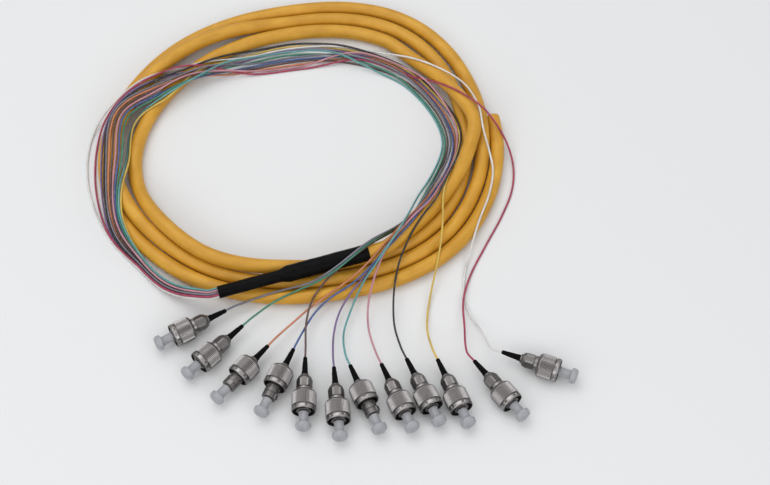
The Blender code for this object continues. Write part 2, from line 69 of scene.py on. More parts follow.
# Coil, seen from above
COIL_CENTRE = Vector((-13.85 * MM, 32.0 * MM, 0.0))
START_ANGLE = math.radians(10.0)
POINTS_PER_TURN = 78
BAND_EDGE = [radius * MM for radius in (94.0, 92.8, 84.5, 88.8, 94.2, 88.0, 84.0, 92.5)]
TURN_INSETS = [
    [inset * MM for inset in (3.25, 3.25, 3.25, 3.25, 3.25, 3.25, 3.25, 3.4)],
    [inset * MM for inset in (9.4, 10.3, 10.3, 10.3, 7.8, 8.4, 10.3, 11.2)],
    [inset * MM for inset in (17.4, 17.4, 17.4, 14.2, 17.0, 18.6, 17.4, 19.0)],
]
CABLE_LEAD = [
    (x * MM, y * MM) for x, y in ((79.5, 11.0), (77.5, -6.0), (70.0, -24.0), (58.5, -40.5), (45.5, -54.5))
]

# Shrink sleeve
SLEEVE_START = np.array([31.4 * MM, -63.5 * MM])
SLEEVE_TURN = math.radians(197.3)
SLEEVE_HEADING = np.array([math.cos(SLEEVE_TURN), math.sin(SLEEVE_TURN)])
STRAIGHT_IN = 8.0 * MM
STRAIGHT_OUT = 3.5 * MM
SLEEVE_WIDE_DIAMETER = 7.5 * MM
SLEEVE_WIDE_LENGTH = 37.0 * MM
SLEEVE_STEP_LENGTH = 2.0 * MM
SLEEVE_NARROW_DIAMETER = 5.4 * MM
SLEEVE_NARROW_LENGTH = 28.5 * MM
SLEEVE_WIDE_SHARE = 0.55

# Connector, in mm along its axis from the tip of the boot
BOOT_LENGTH = 8.4
BOOT_TIP_DIAMETER = 1.7
BOOT_END_DIAMETER = 2.8
SHELL_REAR_DIAMETER = 4.4
SHELL_SHOULDER = 2.6
SHELL_DIAMETER = 6.9
SHELL_LENGTH = 9.7
FLATS_LENGTH = 3.3
FRONT_BODY_DIAMETER = 6.2
FRONT_BODY_LENGTH = 7.2
FERRULE_DIAMETER = 2.5
FERRULE_LENGTH = 5.0
NUT_DIAMETER = 10.4
NUT_LENGTH = 9.4
NUT_SEAT = 7.6
NUT_REAR_WALL = 2.0
NUT_FRONT_WALL = 0.9
NUT_CLEARANCE = 0.35
NUT_PULLED_BACK = 6.0
PULLED_BACK_NUTS = (3, 4, 7)
NUT_SIDES = 16
KNURL_TEETH = 52
KNURL_TOOTH = 0.30
KNURL_TOOTH_WIDTH = 1.75
THREAD_DEPTH = 0.38
THREAD_PITCH = 0.75
CAP_BARREL_DIAMETER = 4.0
CAP_HEAD_DIAMETER = 6.6
CAP_HEAD_LENGTH = 2.9
CAP_CLEARANCE = 0.15
CAP_BARREL_SHOWN = 5.1

# A sixth of a turn, for the wrench flats and the notches
SIXTH = math.pi / 3

# Tip of each boot about the coil's centre, the way its connector points, and how it is rolled
CONNECTOR_POSES = {
    1: (-29.9, -89.2, -150.0, 35.0),
    2: (-22.3, -96.7, -134.0, 150.0),
    3: (-11.0, -106.4, -129.5, 80.0),
    4: (-0.1, -108.0, -113.0, 20.0),
    5: (5.0, -112.1, -90.0, 60.0),
    6: (17.2, -116.6, -84.5, 56.0),
    7: (24.0, -115.7, -67.0, 40.0),
    8: (37.2, -115.1, -66.5, 75.0),
    9: (47.9, -112.6, -65.5, 122.0),
    10: (61.0, -112.9, -67.5, 64.0),
    11: (76.5, -113.6, -52.5, 94.0),
    12: (88.4, -109.4, -21.0, 8.0),
}
COLOUR_OF = {
    1: "slate", 2: "green", 3: "orange", 4: "blue", 5: "brown", 6: "violet",
    7: "aqua", 8: "rose", 9: "black", 10: "yellow", 11: "red", 12: "white",
}

# Way round the coil: distance from the coil's centre in mm at each of these angles in degrees
LOOP_ANGLES = (-137, -151, -171, 172, 158, 143, 120, 92, 60, 35, 4)
LOOP_RADII = {
    1: (94.6, 95.2, 89.2, 88.0, 76.8, 66.0, 56.0, 54.5, 59.0, 64.8, 69.6),
    2: (92.9, 91.2, 82.2, 81.2, 70.8, 62.5, 57.2, 56.0, 57.8, 62.2, 67.0),
    3: (94.3, 94.4, 87.8, 86.6, 75.6, 65.0, 52.4, 50.0, 61.6, 66.6, 71.8),
    4: (93.2, 92.0, 83.6, 82.6, 72.0, 63.6, 55.0, 53.0, 60.4, 65.6, 70.8),
    5: (93.9, 93.6, 86.4, 85.2, 74.4, 64.4, 53.6, 51.5, 56.6, 63.4, 68.2),
    6: (95.4, 96.8, 92.2, 90.4, 79.4, 67.5, 59.6, 59.0, 62.8, 67.8, 73.0),
    7: (92.5, 90.4, 80.8, 79.8, 69.4, 61.8, 58.4, 57.5, 55.4, 61.0, 65.8),
    8: (93.6, 92.8, 85.0, 83.8, 73.2, 64.0, 51.2, 48.5, 62.2, 67.2, 72.4),
    9: (95.0, 96.0, 90.7, 89.4, 78.2, 68.6, 63.0, 62.8, 64.2, 69.0, 74.0),
    10: (92.1, 89.6, 79.4, 78.4, 68.0, 65.6, 61.8, 61.2, 63.4, 68.4, 73.4),
    11: (95.8, 97.7, 96.0, 93.4, 80.8, 69.4, 50.0, 47.0, 58.6, 67.0),
    12: (96.2, 98.6, 99.6, 96.6, 82.2, 70.6, 60.8, 60.0, 66.0, 74.0),
}
# Fan out to the connectors: plan points in mm about the coil's centre
FAN_OUT = {
    1: ((57.0, -28.0), (46.0, -45.5), (34.0, -59.5), (22.0, -69.5), (8.0, -77.0), (-6.0, -80.5)),
    2: (
        (55.8, -28.8), (44.5, -47.5), (31.5, -62.5), (21.6, -70.8),
        (10.9, -76.8), (0.0, -81.0), (-10.0, -86.0),
    ),
    3: (
        (58.2, -29.6), (48.6, -47.6), (39.8, -60.0), (32.4, -68.4),
        (23.6, -75.8), (14.3, -82.0), (5.0, -88.8),
    ),
    4: (
        (60.0, -30.4), (50.5, -49.0), (41.5, -61.5), (34.0, -70.0),
        (25.0, -77.5), (15.5, -83.0), (8.5, -90.0),
    ),
    5: (
        (54.6, -31.6), (42.5, -50.0), (30.1, -64.0), (20.5, -71.0),
        (12.5, -77.5), (7.5, -84.5), (5.0, -95.0),
    ),
    6: (
        (58.6, -32.6), (47.0, -51.5), (38.5, -64.0), (31.0, -73.5),
        (24.0, -81.0), (19.0, -89.5), (16.8, -100.0),
    ),
    7: (
        (53.5, -30.5), (48.5, -47.0), (42.5, -60.0), (36.0, -69.5),
        (29.0, -78.0), (24.0, -88.5), (21.0, -100.0),
    ),
    8: (
        (61.2, -33.0), (51.5, -46.0), (43.5, -57.5), (38.0, -67.0),
        (33.8, -77.0), (31.5, -87.0), (31.8, -98.0),
    ),
    9: (
        (63.0, -33.6), (55.0, -46.0), (49.0, -57.0), (45.0, -67.0),
        (43.0, -77.0), (42.4, -87.0), (43.0, -97.0),
    ),
    10: (
        (65.0, -33.0), (64.5, -45.0), (63.5, -56.0), (61.5, -67.0),
        (59.0, -78.0), (57.4, -88.0), (57.0, -98.0),
    ),
    11: (
        (67.5, 27.5), (77.0, 19.5), (87.5, 11.0), (95.0, 1.0), (98.0, -10.0), (97.0, -23.0), (91.5, -38.0),
        (83.5, -54.0), (76.5, -69.0), (73.0, -82.0), (73.0, -95.0),
    ),
    12: (
        (75.5, 31.0), (82.0, 16.0), (84.0, 3.0), (86.5, -7.0), (88.0, -17.0), (85.8, -30.0), (80.5, -45.0),
        (76.5, -58.0), (73.8, -69.5), (73.6, -79.5), (75.6, -88.5), (80.2, -98.0),
    ),
}
# The bundle out of the sleeve: the fibres' order across it, its layers, and its way to the coil in mm
SIDE_ORDER = (12, 11, 6, 9, 1, 3, 5, 8, 4, 2, 7, 10)
LEVELS = 3
BUNDLE_WAY = ((-42.5, -83.3), (-50.0, -80.2), (-58.5, -74.6))
BUNDLE_FREE = 6.0 * MM
APPROACH = 4.5 * MM

# How strands lie: stiffness against weight, how firmly their ends and what they touch hold them
FIBRE_POINT_COUNT = 180
CABLE_STIFFNESS = 8e-6
FIBRE_STIFFNESS = 4e-6
HOLD = 1e6
CONTACT = 4e4
MOST_ROUNDS = 60
STEPS_BETWEEN = 24
LEAD_POINTS = 900


# Camera, light and floor


def put_in_scene(name, data):
    made = bpy.data.objects.new(name, data)
    bpy.context.scene.collection.objects.link(made)
    return made


def set_camera():
    """The photograph's view, square on to the fan of connectors."""
    made = bpy.data.cameras.new("photo_view")
    made.lens = 70.0
    made.sensor_width = 36.0
    made.clip_start = 0.02
    camera = put_in_scene("photo_view", made)
    aim = COIL_CENTRE + Vector(VIEW_AIM) * MM
    camera.location = aim + VIEW_DISTANCE * Vector((0.0, -math.cos(VIEW_ANGLE), math.sin(VIEW_ANGLE)))
    camera.rotation_euler = (math.pi / 2 - VIEW_ANGLE, 0.0, 0.0)
    bpy.context.scene.camera = camera


def area_light(name, place, aim, width, length, power):
    made = bpy.data.lights.new(name, "AREA")
    made.shape = "RECTANGLE"
    made.size = width
    made.size_y = length
    made.energy = power
    lamp = put_in_scene(name, made)
    lamp.location = place
    lamp.rotation_euler = (Vector(aim) - Vector(place)).to_track_quat("-Z", "Y").to_euler()


def set_light():
    """A white room, greyer towards its floor, with a softbox above and a fill on each side of the camera."""
    world = bpy.data.worlds.new("white_room")
    world.use_nodes = True
    tree = world.node_tree
    place = add_node(tree, "ShaderNodeTexCoord").outputs["Generated"]
    height = add_node(tree, "ShaderNodeSeparateXYZ", {}, {0: place}).outputs["Z"]
    ramp = add_node(tree, "ShaderNodeValToRGB", {}, {"Fac": height})
    stops = ramp.color_ramp.elements
    stops.new(0.5)
    for stop, (position, *colour) in zip(stops, ROOM_STOPS):
        stop.position = position
        stop.color = (*colour, 1.0)
    room = tree.nodes["Background"]
    feed(tree, room.inputs["Color"], ramp.outputs["Color"])
    feed(tree, room.inputs["Strength"], ROOM_STRENGTH)
    bpy.context.scene.world = world
    bpy.context.scene.view_settings.view_transform = "Standard"
    area_light("top_softbox", (-0.25, 0.25, 0.9), (0.02, 0.0, 0.0), 0.9, 0.7, 2.6)
    area_light("right_fill", (0.55, -0.75, 0.55), (0.02, -0.05, 0.0), 0.6, 0.4, 1.6)
    area_light("left_fill", (-0.5, -0.75, 0.55), (0.02, -0.05, 0.0), 0.6, 0.4, 1.6)


def make_floor():
    mesh = bpy.data.meshes.new("pale_floor")
    corners = [(x * FLOOR_REACH, y * FLOOR_REACH, 0.0) for x, y in ((-1, -1), (1, -1), (1, 1), (-1, 1))]
    mesh.from_pydata(corners, [], [(0, 1, 2, 3)])
    floor = put_in_scene("pale_floor", mesh)
    shade = Shade("pale_paper")
    grain = shade.noise(shade.object_place(), 900.0, 3)
    shade.colour(tuple(grain * 0.02 + part for part in (0.725, 0.733, 0.737)))
    shade.set("Roughness", 0.9)
    shade.set("Specular IOR Level", 0.2)
    mesh.materials.append(shade.material)


# Shader maths


def feed(tree, socket, value):
    """Links a socket to a value that comes from another node, or sets it to a plain value."""
    value = getattr(value, "socket", value)
    if isinstance(value, bpy.types.NodeSocket):
        tree.links.new(value, socket)
    else:
        socket.default_value = value


def add_node(tree, kind, settings=None, values=None):
    """A new node: its settings first, then the values or links of its sockets."""
    made = tree.nodes.new(kind)
    for name, value in (settings or {}).items():
        setattr(made, name, value)
    for name, value in (values or {}).items():
        feed(tree, made.inputs[name], value)
    return made


class Value:
    """One socket's value in a material. Arithmetic on it adds Math nodes."""

    def __init__(self, shade, socket):
        self.shade = shade
        self.socket = socket

    def maths(self, operation, *others):
        return self.shade.value("ShaderNodeMath", {"operation": operation}, dict(enumerate(others)))

    def __add__(self, other):
        return self.maths("ADD", self, other)

    def __radd__(self, other):
        return self.maths("ADD", other, self)

    def __mul__(self, other):
        return self.maths("MULTIPLY", self, other)

    def __rmul__(self, other):
        return self.maths("MULTIPLY", other, self)

    def __pow__(self, other):
        return self.maths("POWER", self, other)

    def spread(self, low, high, start=0.0, end=1.0):
        """The value brought from low..high to start..end, and held there outside."""
        return self.shade.value(
            "ShaderNodeMapRange", {"clamp": True}, {0: self, 1: low, 2: high, 3: start, 4: end}
        )


class Shade:
    """A material on one Principled shader."""

    def __init__(self, name):
        self.material = bpy.data.materials.new(name)
        self.material.use_nodes = True
        self.tree = self.material.node_tree
        self.surface = self.tree.nodes["Principled BSDF"]

    def value(self, kind, settings=None, values=None, output=0):
        return Value(self, add_node(self.tree, kind, settings, values).outputs[output])

    def set(self, name, value):
        feed(self.tree, self.surface.inputs[name], value)

    def object_place(self):
        return self.value("ShaderNodeTexCoord", output="Object")

    def own_place(self):
        """Where a point lies on the piece itself, whatever way the piece is turned or bent."""
        return self.value("ShaderNodeAttribute", {"attribute_name": "own_place"}, output="Vector")

    def split(self, vector):
        node = add_node(self.tree, "ShaderNodeSeparateXYZ", {}, {0: vector})
        return [Value(self, part) for part in node.outputs]

    def stretched(self, vector, scale):
        return self.value("ShaderNodeMapping", {}, {"Vector": vector, "Scale": scale})

    def noise(self, vector, scale, detail=2):
        return self.value("ShaderNodeTexNoise", {}, {"Vector": vector, "Scale": scale, "Detail": detail})

    def blend(self, share, *colours):
        """Two colours mixed by a share from 0 to 1."""
        first, second = ((*colour, 1.0) if isinstance(colour, tuple) else colour for colour in colours)
        return self.value("ShaderNodeMix", {"data_type": "RGBA"}, {0: share, 6: first, 7: second}, 2)

    def colour(self, value):
        if isinstance(value, tuple):
            value = self.value("ShaderNodeCombineColor", {}, dict(enumerate(value)))
        self.set("Base Color", value)

    def bump(self, height, distance, strength=1.0):
        values = {"Height": height, "Distance": distance, "Strength": strength}
        self.set("Normal", self.value("ShaderNodeBump", {}, values))


# Finishes


def jacket_vinyl():
    """Satin orange-yellow vinyl, with drawn lines along it, rubbed spots and a little dust."""
    shade = Shade("jacket_vinyl")
    place = shade.own_place()
    streaks = shade.noise(shade.stretched(place, (0.06, 1.0, 1.0)), 2600.0, 3)
    clouds = shade.noise(shade.stretched(place, (0.5, 1.0, 1.0)), 190.0, 3)
    grain = shade.noise(place, 5200.0, 2)
    rubbed = (streaks * 0.6 + clouds * 0.7).spread(0.70, 0.86)
    tone = shade.blend(clouds.spread(0.3, 0.7), (0.535, 0.262, 0.019), (0.655, 0.34, 0.029))
    tone = shade.blend(streaks.spread(0.35, 0.75, 0.0, 0.35), tone, (0.47, 0.222, 0.014))
    shade.colour(shade.blend(rubbed * 0.35, tone, (0.72, 0.43, 0.08)))
    shade.set("Roughness", 0.40 + rubbed * 0.15 + grain * 0.06)
    shade.set("Specular IOR Level", 0.42)
    shade.bump(streaks * 0.55 + grain * 0.25 + clouds * 0.5, 0.00006, 0.6)
    return shade.material


def buffer_coat(name, colour, pale):
    """Glossy tight buffer of one fibre, with light marks along it."""
    shade = Shade(name)
    place = shade.own_place()
    streaks = shade.noise(shade.stretched(place, (0.08, 1.0, 1.0)), 5200.0, 2)
    patches = shade.noise(shade.stretched(place, (0.3, 1.0, 1.0)), 420.0, 2)
    darker = tuple(0.72 * part for part in colour)
    tone = shade.blend(patches.spread(0.3, 0.7), darker, colour)
    shade.colour(shade.blend(streaks.spread(0.55, 0.8, 0.0, 0.4), tone, pale))
    shade.set("Roughness", 0.30 + patches * 0.16)
    shade.bump(streaks, 0.00002, 0.5)
    return shade.material


def shrink_black():
    """Black heat-shrunk tube: half-gloss, finely pitted, with drawn marks and finger-dulled patches."""
    shade = Shade("shrink_black")
    place = shade.own_place()
    drawn = shade.noise(shade.stretched(place, (0.12, 1.0, 1.0)), 2200.0, 3)
    pits = shade.noise(place, 3800.0, 2)
    dull = shade.noise(place, 260.0, 3)
    tone = shade.blend(dull.spread(0.4, 0.7), (0.0015, 0.0015, 0.0015), (0.004, 0.004, 0.004))
    shade.colour(shade.blend(drawn.spread(0.62, 0.8, 0.0, 0.5), tone, (0.016, 0.016, 0.016)))
    shade.set("Roughness", 0.34 + dull * 0.22 + pits * 0.05)
    shade.set("Specular IOR Level", 0.08)
    shade.bump(drawn * 0.5 + pits * 0.4, 0.00005, 0.6)
    return shade.material


def boot_rubber():
    shade = Shade("boot_rubber")
    place = shade.own_place()
    grain = shade.noise(place, 4200.0, 3)
    worn = shade.noise(place, 900.0, 3)
    tone = shade.blend(worn.spread(0.45, 0.75), (0.0015, 0.0015, 0.0015), (0.004, 0.004, 0.004))
    shade.colour(shade.blend(grain.spread(0.6, 0.8, 0.0, 0.35), tone, (0.020, 0.020, 0.020)))
    shade.set("Roughness", 0.46 + grain * 0.2)
    shade.set("Specular IOR Level", 0.06)
    shade.bump(grain, 0.00004, 0.5)
    return shade.material


def nickel(name, radius, grime_and_shade_weight, shine):
    """Nickel plate on turned brass: turning rings, hairline scratches, random grime clouds, and painted shade
    wherever the surface lies below the outer radius.
    """
    shade = Shade(name)
    place = shade.own_place()
    x, y, _ = shade.split(place)
    rings = shade.noise(shade.stretched(place, (0.05, 0.05, 1.0)), 9000.0, 2)
    marks = shade.noise(shade.stretched(place, (1.0, 1.0, 0.12)), 5200.0, 3)
    clouds = shade.noise(place, 620.0, 3)
    out = (x * x + y * y) ** 0.5
    # Painted shade: the further the surface lies below the outer radius, in flats, grooves, knurl valleys and
    # notches, the darker it is painted.
    low = out.spread(radius - 0.32 * MM, radius - 0.04 * MM, 1.0, 0.0)
    grime_and_painted_shade = (low * 0.75 + clouds.spread(0.45, 0.75) * 0.35).spread(0.0, 1.0)
    dull = tuple(shine * part for part in (0.33, 0.314, 0.313))
    bright = tuple(shine * part for part in (0.43, 0.411, 0.41))
    tone = shade.blend(clouds.spread(0.3, 0.7), dull, bright)
    # The dark colour is random grime clouds mixed with painted shade in the recesses.
    shade.colour(shade.blend(grime_and_painted_shade * grime_and_shade_weight, tone, (0.10, 0.093, 0.085)))
    shade.set("Metallic", 1.0)
    shade.set("Roughness", 0.24 + clouds * 0.14 + grime_and_painted_shade * 0.14)
    shade.bump(rings * 0.6 + marks * 0.4, 0.000012, 0.5)
    return shade.material


def bore_painted_shade():
    """The nut's threaded bore: unpolished metal, painted near-black as the shade inside the nut."""
    shade = Shade("bore_painted_shade")
    place = shade.own_place()
    film = shade.noise(place, 1100.0, 3)
    shade.colour(shade.blend(film.spread(0.35, 0.7), (0.008, 0.0075, 0.007), (0.030, 0.028, 0.026)))
    shade.set("Metallic", 0.6)
    shade.set("Roughness", 0.42 + film * 0.2)
    shade.set("Specular IOR Level", 0.2)
    shade.bump(film, 0.00002, 0.4)
    return shade.material


def cap_plastic():
    """Milky grey moulded plastic, slightly see-through, with flow marks and fine scuffs."""
    shade = Shade("cap_plastic")
    place = shade.own_place()
    flow = shade.noise(place, 420.0, 3)
    scuffs = shade.noise(shade.stretched(place, (1.0, 1.0, 0.3)), 3600.0, 3)
    tone = shade.blend(flow.spread(0.3, 0.7), (0.395, 0.40, 0.43), (0.48, 0.485, 0.515))
    shade.colour(shade.blend(scuffs.spread(0.6, 0.8, 0.0, 0.4), tone, (0.60, 0.605, 0.63)))
    shade.set("Roughness", 0.32 + scuffs * 0.2)
    shade.set("IOR", 1.48)
    shade.set("Transmission Weight", 0.28)
    shade.set("Subsurface Weight", 0.4)
    shade.set("Subsurface Radius", (0.004, 0.004, 0.004))
    shade.set("Subsurface Scale", 0.5)
    shade.bump(flow * 0.6 + scuffs * 0.3, 0.00005, 0.4)
    return shade.material


def ferrule_ceramic():
    shade = Shade("ferrule_ceramic")
    place = shade.own_place()
    clouds = shade.noise(place, 900.0, 2)
    shade.colour(shade.blend(clouds, (0.78, 0.77, 0.74), (0.84, 0.83, 0.80)))
    shade.set("Roughness", 0.16 + clouds * 0.08)
    shade.bump(clouds, 0.00001, 0.3)
    return shade.material


def yarn():
    """Straw-coloured aramid yarn, cut short."""
    shade = Shade("aramid_yarn")
    place = shade.own_place()
    hair = shade.noise(shade.stretched(place, (0.1, 1.0, 1.0)), 9000.0, 3)
    shade.colour(shade.blend(hair.spread(0.3, 0.7), (0.42, 0.32, 0.10), (0.80, 0.68, 0.34)))
    shade.set("Roughness", 0.6 + hair * 0.25)
    shade.bump(hair, 0.0001, 0.8)
    return shade.material


def glue():
    """Hot-melt glue at the sleeve's mouth: dark and glossy."""
    shade = Shade("mouth_glue")
    place = shade.own_place()
    waves = shade.noise(place, 900.0, 2)
    shade.colour(shade.blend(waves, (0.010, 0.009, 0.008), (0.030, 0.026, 0.020)))
    shade.set("Roughness", 0.16 + waves * 0.12)
    shade.bump(waves, 0.0001, 0.6)
    return shade.material


# Strands: where they lie


def gaps_between(points):
    return np.linalg.norm(np.diff(points, axis=0), axis=1)


def smooth_through(points, count):
    """Give count points, evenly spaced, on a smooth curve through the given points."""
    points = np.asarray(points, float)
    gaps = gaps_between(points) ** 0.5
    knots = np.concatenate([[0.0], np.cumsum(gaps)])
    before = points[0] + (points[0] - points[1])
    after = points[-1] + (points[-1] - points[-2])
    route = np.vstack([before, points, after])
    times = np.concatenate([[-gaps[0]], knots, [knots[-1] + gaps[-1]]])
    dense = []
    for i in range(1, len(route) - 2):
        t0, t1, t2, t3 = times[i - 1:i + 3]
        p0, p1, p2, p3 = route[i - 1:i + 3]
        t = np.linspace(t1, t2, STEPS_BETWEEN, endpoint=False)[:, None]
        a1 = ((t1 - t) * p0 + (t - t0) * p1) / (t1 - t0)
        a2 = ((t2 - t) * p1 + (t - t1) * p2) / (t2 - t1)
        a3 = ((t3 - t) * p2 + (t - t2) * p3) / (t3 - t2)
        b1 = ((t2 - t) * a1 + (t - t0) * a2) / (t2 - t0)
        b2 = ((t3 - t) * a2 + (t - t1) * a3) / (t3 - t1)
        dense.append(((t2 - t) * b1 + (t - t1) * b2) / (t2 - t1))
    dense.append(points[-1:])
    return along_curve(np.vstack(dense), count)


def lengths_along(points):
    return np.concatenate([[0.0], np.cumsum(gaps_between(points))])


def along_curve(dense, count):
    """Give count points, evenly spaced, on a run of close points."""
    along = lengths_along(dense)
    wanted = np.linspace(0.0, along[-1], count)
    return np.column_stack([np.interp(wanted, along, dense[:, k]) for k in range(dense.shape[1])])


def nearest(dense, place):
    return int(np.argmin(np.hypot(*(dense - place).T)))


def samples_of(plan, spacing):
    """Split a run of points into short steps: segment index and share along it for each sample."""
    segment = []
    share = []
    for i, length in enumerate(gaps_between(plan)):
        steps = max(1, math.ceil(length / spacing))
        for k in range(steps):
            segment.append(i)
            share.append(k / steps)
    segment.append(len(plan) - 2)
    share.append(1.0)
    return np.array(segment), np.array(share)


class Pile:
    """What lies on the floor so far, as samples along each strand, and how the next strand lies on it."""

    def __init__(self):
        self.middle = np.zeros((0, 3))
        self.radius = np.zeros(0)

    def add(self, points, radius, spacing=1.0 * MM):
        segment, share = samples_of(points[:, :2], spacing)
        share = share[:, None]
        self.middle = np.vstack([self.middle, points[segment] * (1 - share) + points[segment + 1] * share])
        self.radius = np.concatenate([self.radius, np.full(len(segment), radius)])

    def lowest(self, spots, radius, gap):
        """Lowest height at each spot where a strand clears the floor and all that lies there."""
        heights = np.full(len(spots), radius)
        reach = self.radius + radius + gap
        for i, spot in enumerate(spots):
            distance = np.hypot(self.middle[:, 0] - spot[0], self.middle[:, 1] - spot[1])
            close = distance < reach
            if close.any():
                tops = self.middle[close, 2] + np.sqrt(reach[close] ** 2 - distance[close] ** 2)
                heights[i] = max(radius, tops.max())
        return heights

    def lay(self, plan, radius, gap, stiffness, held=None, on_itself=False, free=0.0, spacing=1.0 * MM):
        """Heights of the plan's points: a springy strand, bent by its weight over what lies there."""
        segment, share = samples_of(plan, spacing)
        steps = gaps_between(plan)
        count = len(plan)
        reading = np.zeros((len(segment), count))
        reading[np.arange(len(segment)), segment] = 1 - share
        reading[np.arange(len(segment)), segment + 1] += share
        spots = reading @ plan
        along = reading @ lengths_along(plan)
        limits = self.lowest(spots, radius, gap)
        limits[along < free] = radius
        rows = reading
        if on_itself:
            later, earlier, apart = own_pairs(spots, along, 2 * radius + gap)
            rows = np.vstack([reading, reading[later] - reading[earlier]])
            limits = np.concatenate([limits, apart])
        bending = np.zeros((count - 2, count))
        for i, (before, after) in enumerate(zip(steps[:-1], steps[1:])):
            weight = math.sqrt(2 * stiffness / (before + after))
            bending[i, i:i + 3] = (weight / before, -weight / before - weight / after, weight / after)
        stiff = bending.T @ bending
        pull = -(np.append(steps, 0.0) + np.append(0.0, steps)) / 2
        for index, height in (held or {}).items():
            stiff[index, index] += HOLD
            pull[index] += HOLD * height
        pressed = np.ones(len(rows), bool)
        for _ in range(MOST_ROUNDS):
            touching = rows[pressed]
            heights = np.linalg.solve(
                stiff + CONTACT * touching.T @ touching, pull + CONTACT * touching.T @ limits[pressed]
            )
            sunk = rows @ heights < limits
            if (sunk == pressed).all():
                break
            pressed = sunk
        return np.maximum(heights, radius)


def own_pairs(spots, along, reach):
    """Pairs of a later and an earlier sample of one strand that come close to each other in plan."""
    later = []
    earlier = []
    apart = []
    for i in range(len(spots)):
        before = np.flatnonzero(along[:i] < along[i] - 8 * reach)
        distance = np.hypot(*(spots[before] - spots[i]).T)
        close = distance < reach
        later.append(np.full(close.sum(), i))
        earlier.append(before[close])
        apart.append(np.sqrt(reach ** 2 - distance[close] ** 2))
    return np.concatenate(later).astype(int), np.concatenate(earlier).astype(int), np.concatenate(apart)


def eighths(values, position):
    """Read a list given at each eighth of a turn at any place between, smoothly."""
    index = int(math.floor(position))
    share = position - index
    p0, p1, p2, p3 = (values[min(max(index + k, 0), len(values) - 1)] for k in (-1, 0, 1, 2))
    a = 2 * p1
    b = p2 - p0
    c = 2 * p0 - 5 * p1 + 4 * p2 - p3
    d = 3 * p1 - p0 - 3 * p2 + p3
    return 0.5 * (a + b * share + c * share ** 2 + d * share ** 3)


def cable_plan():
    """Plan of the cable about the coil's centre: its turns, then the lead to the sleeve."""
    insets = [inset for turn in TURN_INSETS for inset in turn]
    edge = BAND_EDGE * len(TURN_INSETS)
    turns = []
    for step in range(POINTS_PER_TURN * len(TURN_INSETS) - POINTS_PER_TURN // 8):
        position = 8 * step / POINTS_PER_TURN
        radius = eighths(edge, position) - eighths(insets, position)
        angle = START_ANGLE - position * math.pi / 4
        turns.append((radius * math.cos(angle), radius * math.sin(angle)))
    ends = [SLEEVE_START - back * SLEEVE_HEADING for back in (STRAIGHT_IN, END_GAP)]
    lead = smooth_through(turns[-7::3] + CABLE_LEAD + ends, LEAD_POINTS)
    begin = nearest(lead, turns[-1])
    finish = nearest(lead, ends[0])
    lead = lead[begin:finish + 1]
    length = gaps_between(lead).sum()
    spacing = np.linalg.norm(np.subtract(turns[-1], turns[-2]))
    keep = np.linspace(0, len(lead) - 1, int(round(length / spacing)) + 1).round().astype(int)
    return np.vstack([turns, lead[keep[1:]], ends[1:]])


def sleeve_profile():
    """Distance along the sleeve and radius there, from the wide end."""
    wide = SLEEVE_WIDE_DIAMETER / 2
    narrow = SLEEVE_NARROW_DIAMETER / 2
    step = SLEEVE_WIDE_LENGTH + SLEEVE_STEP_LENGTH
    return [(0.0, wide), (SLEEVE_WIDE_LENGTH, wide), (step, narrow), (step + SLEEVE_NARROW_LENGTH, narrow)]


def sleeve_heights():
    """Heights of the middle of the sleeve's two ends, read off its CAD node."""
    places = np.array([vertex.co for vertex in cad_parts["breakout_sleeve"].data.vertices])
    along = (places[:, :2] - SLEEVE_START - np.array(COIL_CENTRE[:2])) @ SLEEVE_HEADING
    ends = (places[along < 1.0 * MM, 2], places[along > sleeve_profile()[-1][0] - 1.0 * MM, 2])
    return [(heights.min() + heights.max()) / 2 for heights in ends]


def fibre_level(number):
    return (SIDE_ORDER.index(number) + 1) % LEVELS


def fibre_exit(number):
    """Place of a fibre in the bundle at the sleeve's narrow end: towards the coil's middle, and up."""
    pitch = FIBRE_DIAMETER + BUNDLE_GAP
    sideways = pitch / LEVELS
    offset = (SIDE_ORDER.index(number) - (len(SIDE_ORDER) - 1) / 2) * sideways
    return offset, (fibre_level(number) - (LEVELS - 1) / 2) * math.sqrt(pitch ** 2 - sideways ** 2)


def connector_pose(number):
    x, y, turn, _ = CONNECTOR_POSES[number]
    return x * MM, y * MM, math.radians(turn)


def axis_height():
    """Height of a connector's middle line: its nut's solid lies on one of its flat sides."""
    return NUT_DIAMETER / 2 * MM * math.cos(math.pi / NUT_SIDES)


def fibre_plan(number, count):
    """Plan of one fibre about the coil's centre, from the sleeve to the tip of its boot."""
    sideways = np.array([SLEEVE_HEADING[1], -SLEEVE_HEADING[0]])
    offset, _ = fibre_exit(number)
    end = SLEEVE_START + SLEEVE_HEADING * (sleeve_profile()[-1][0] + END_GAP)
    start = end + sideways * offset
    route = [start, start + SLEEVE_HEADING * STRAIGHT_OUT]
    for x, y in BUNDLE_WAY:
        out = np.array([x, y]) / math.hypot(x, y)
        route.append(np.array([x, y]) * MM - out * offset)
    for angle, radius in zip(LOOP_ANGLES, LOOP_RADII[number]):
        turn = math.radians(angle)
        route.append(np.array([radius * math.cos(turn), radius * math.sin(turn)]) * MM)
    route += [np.array(point) * MM for point in FAN_OUT[number]]
    x, y, turn = connector_pose(number)
    into = np.array([math.cos(turn), math.sin(turn)])
    tip, back = (np.array([x, y]) - gap * into for gap in (END_GAP, APPROACH))
    curve = smooth_through(route + [back, tip], 40 * count)
    return np.vstack([along_curve(curve[:nearest(curve, back) + 1], count - 1), tip])


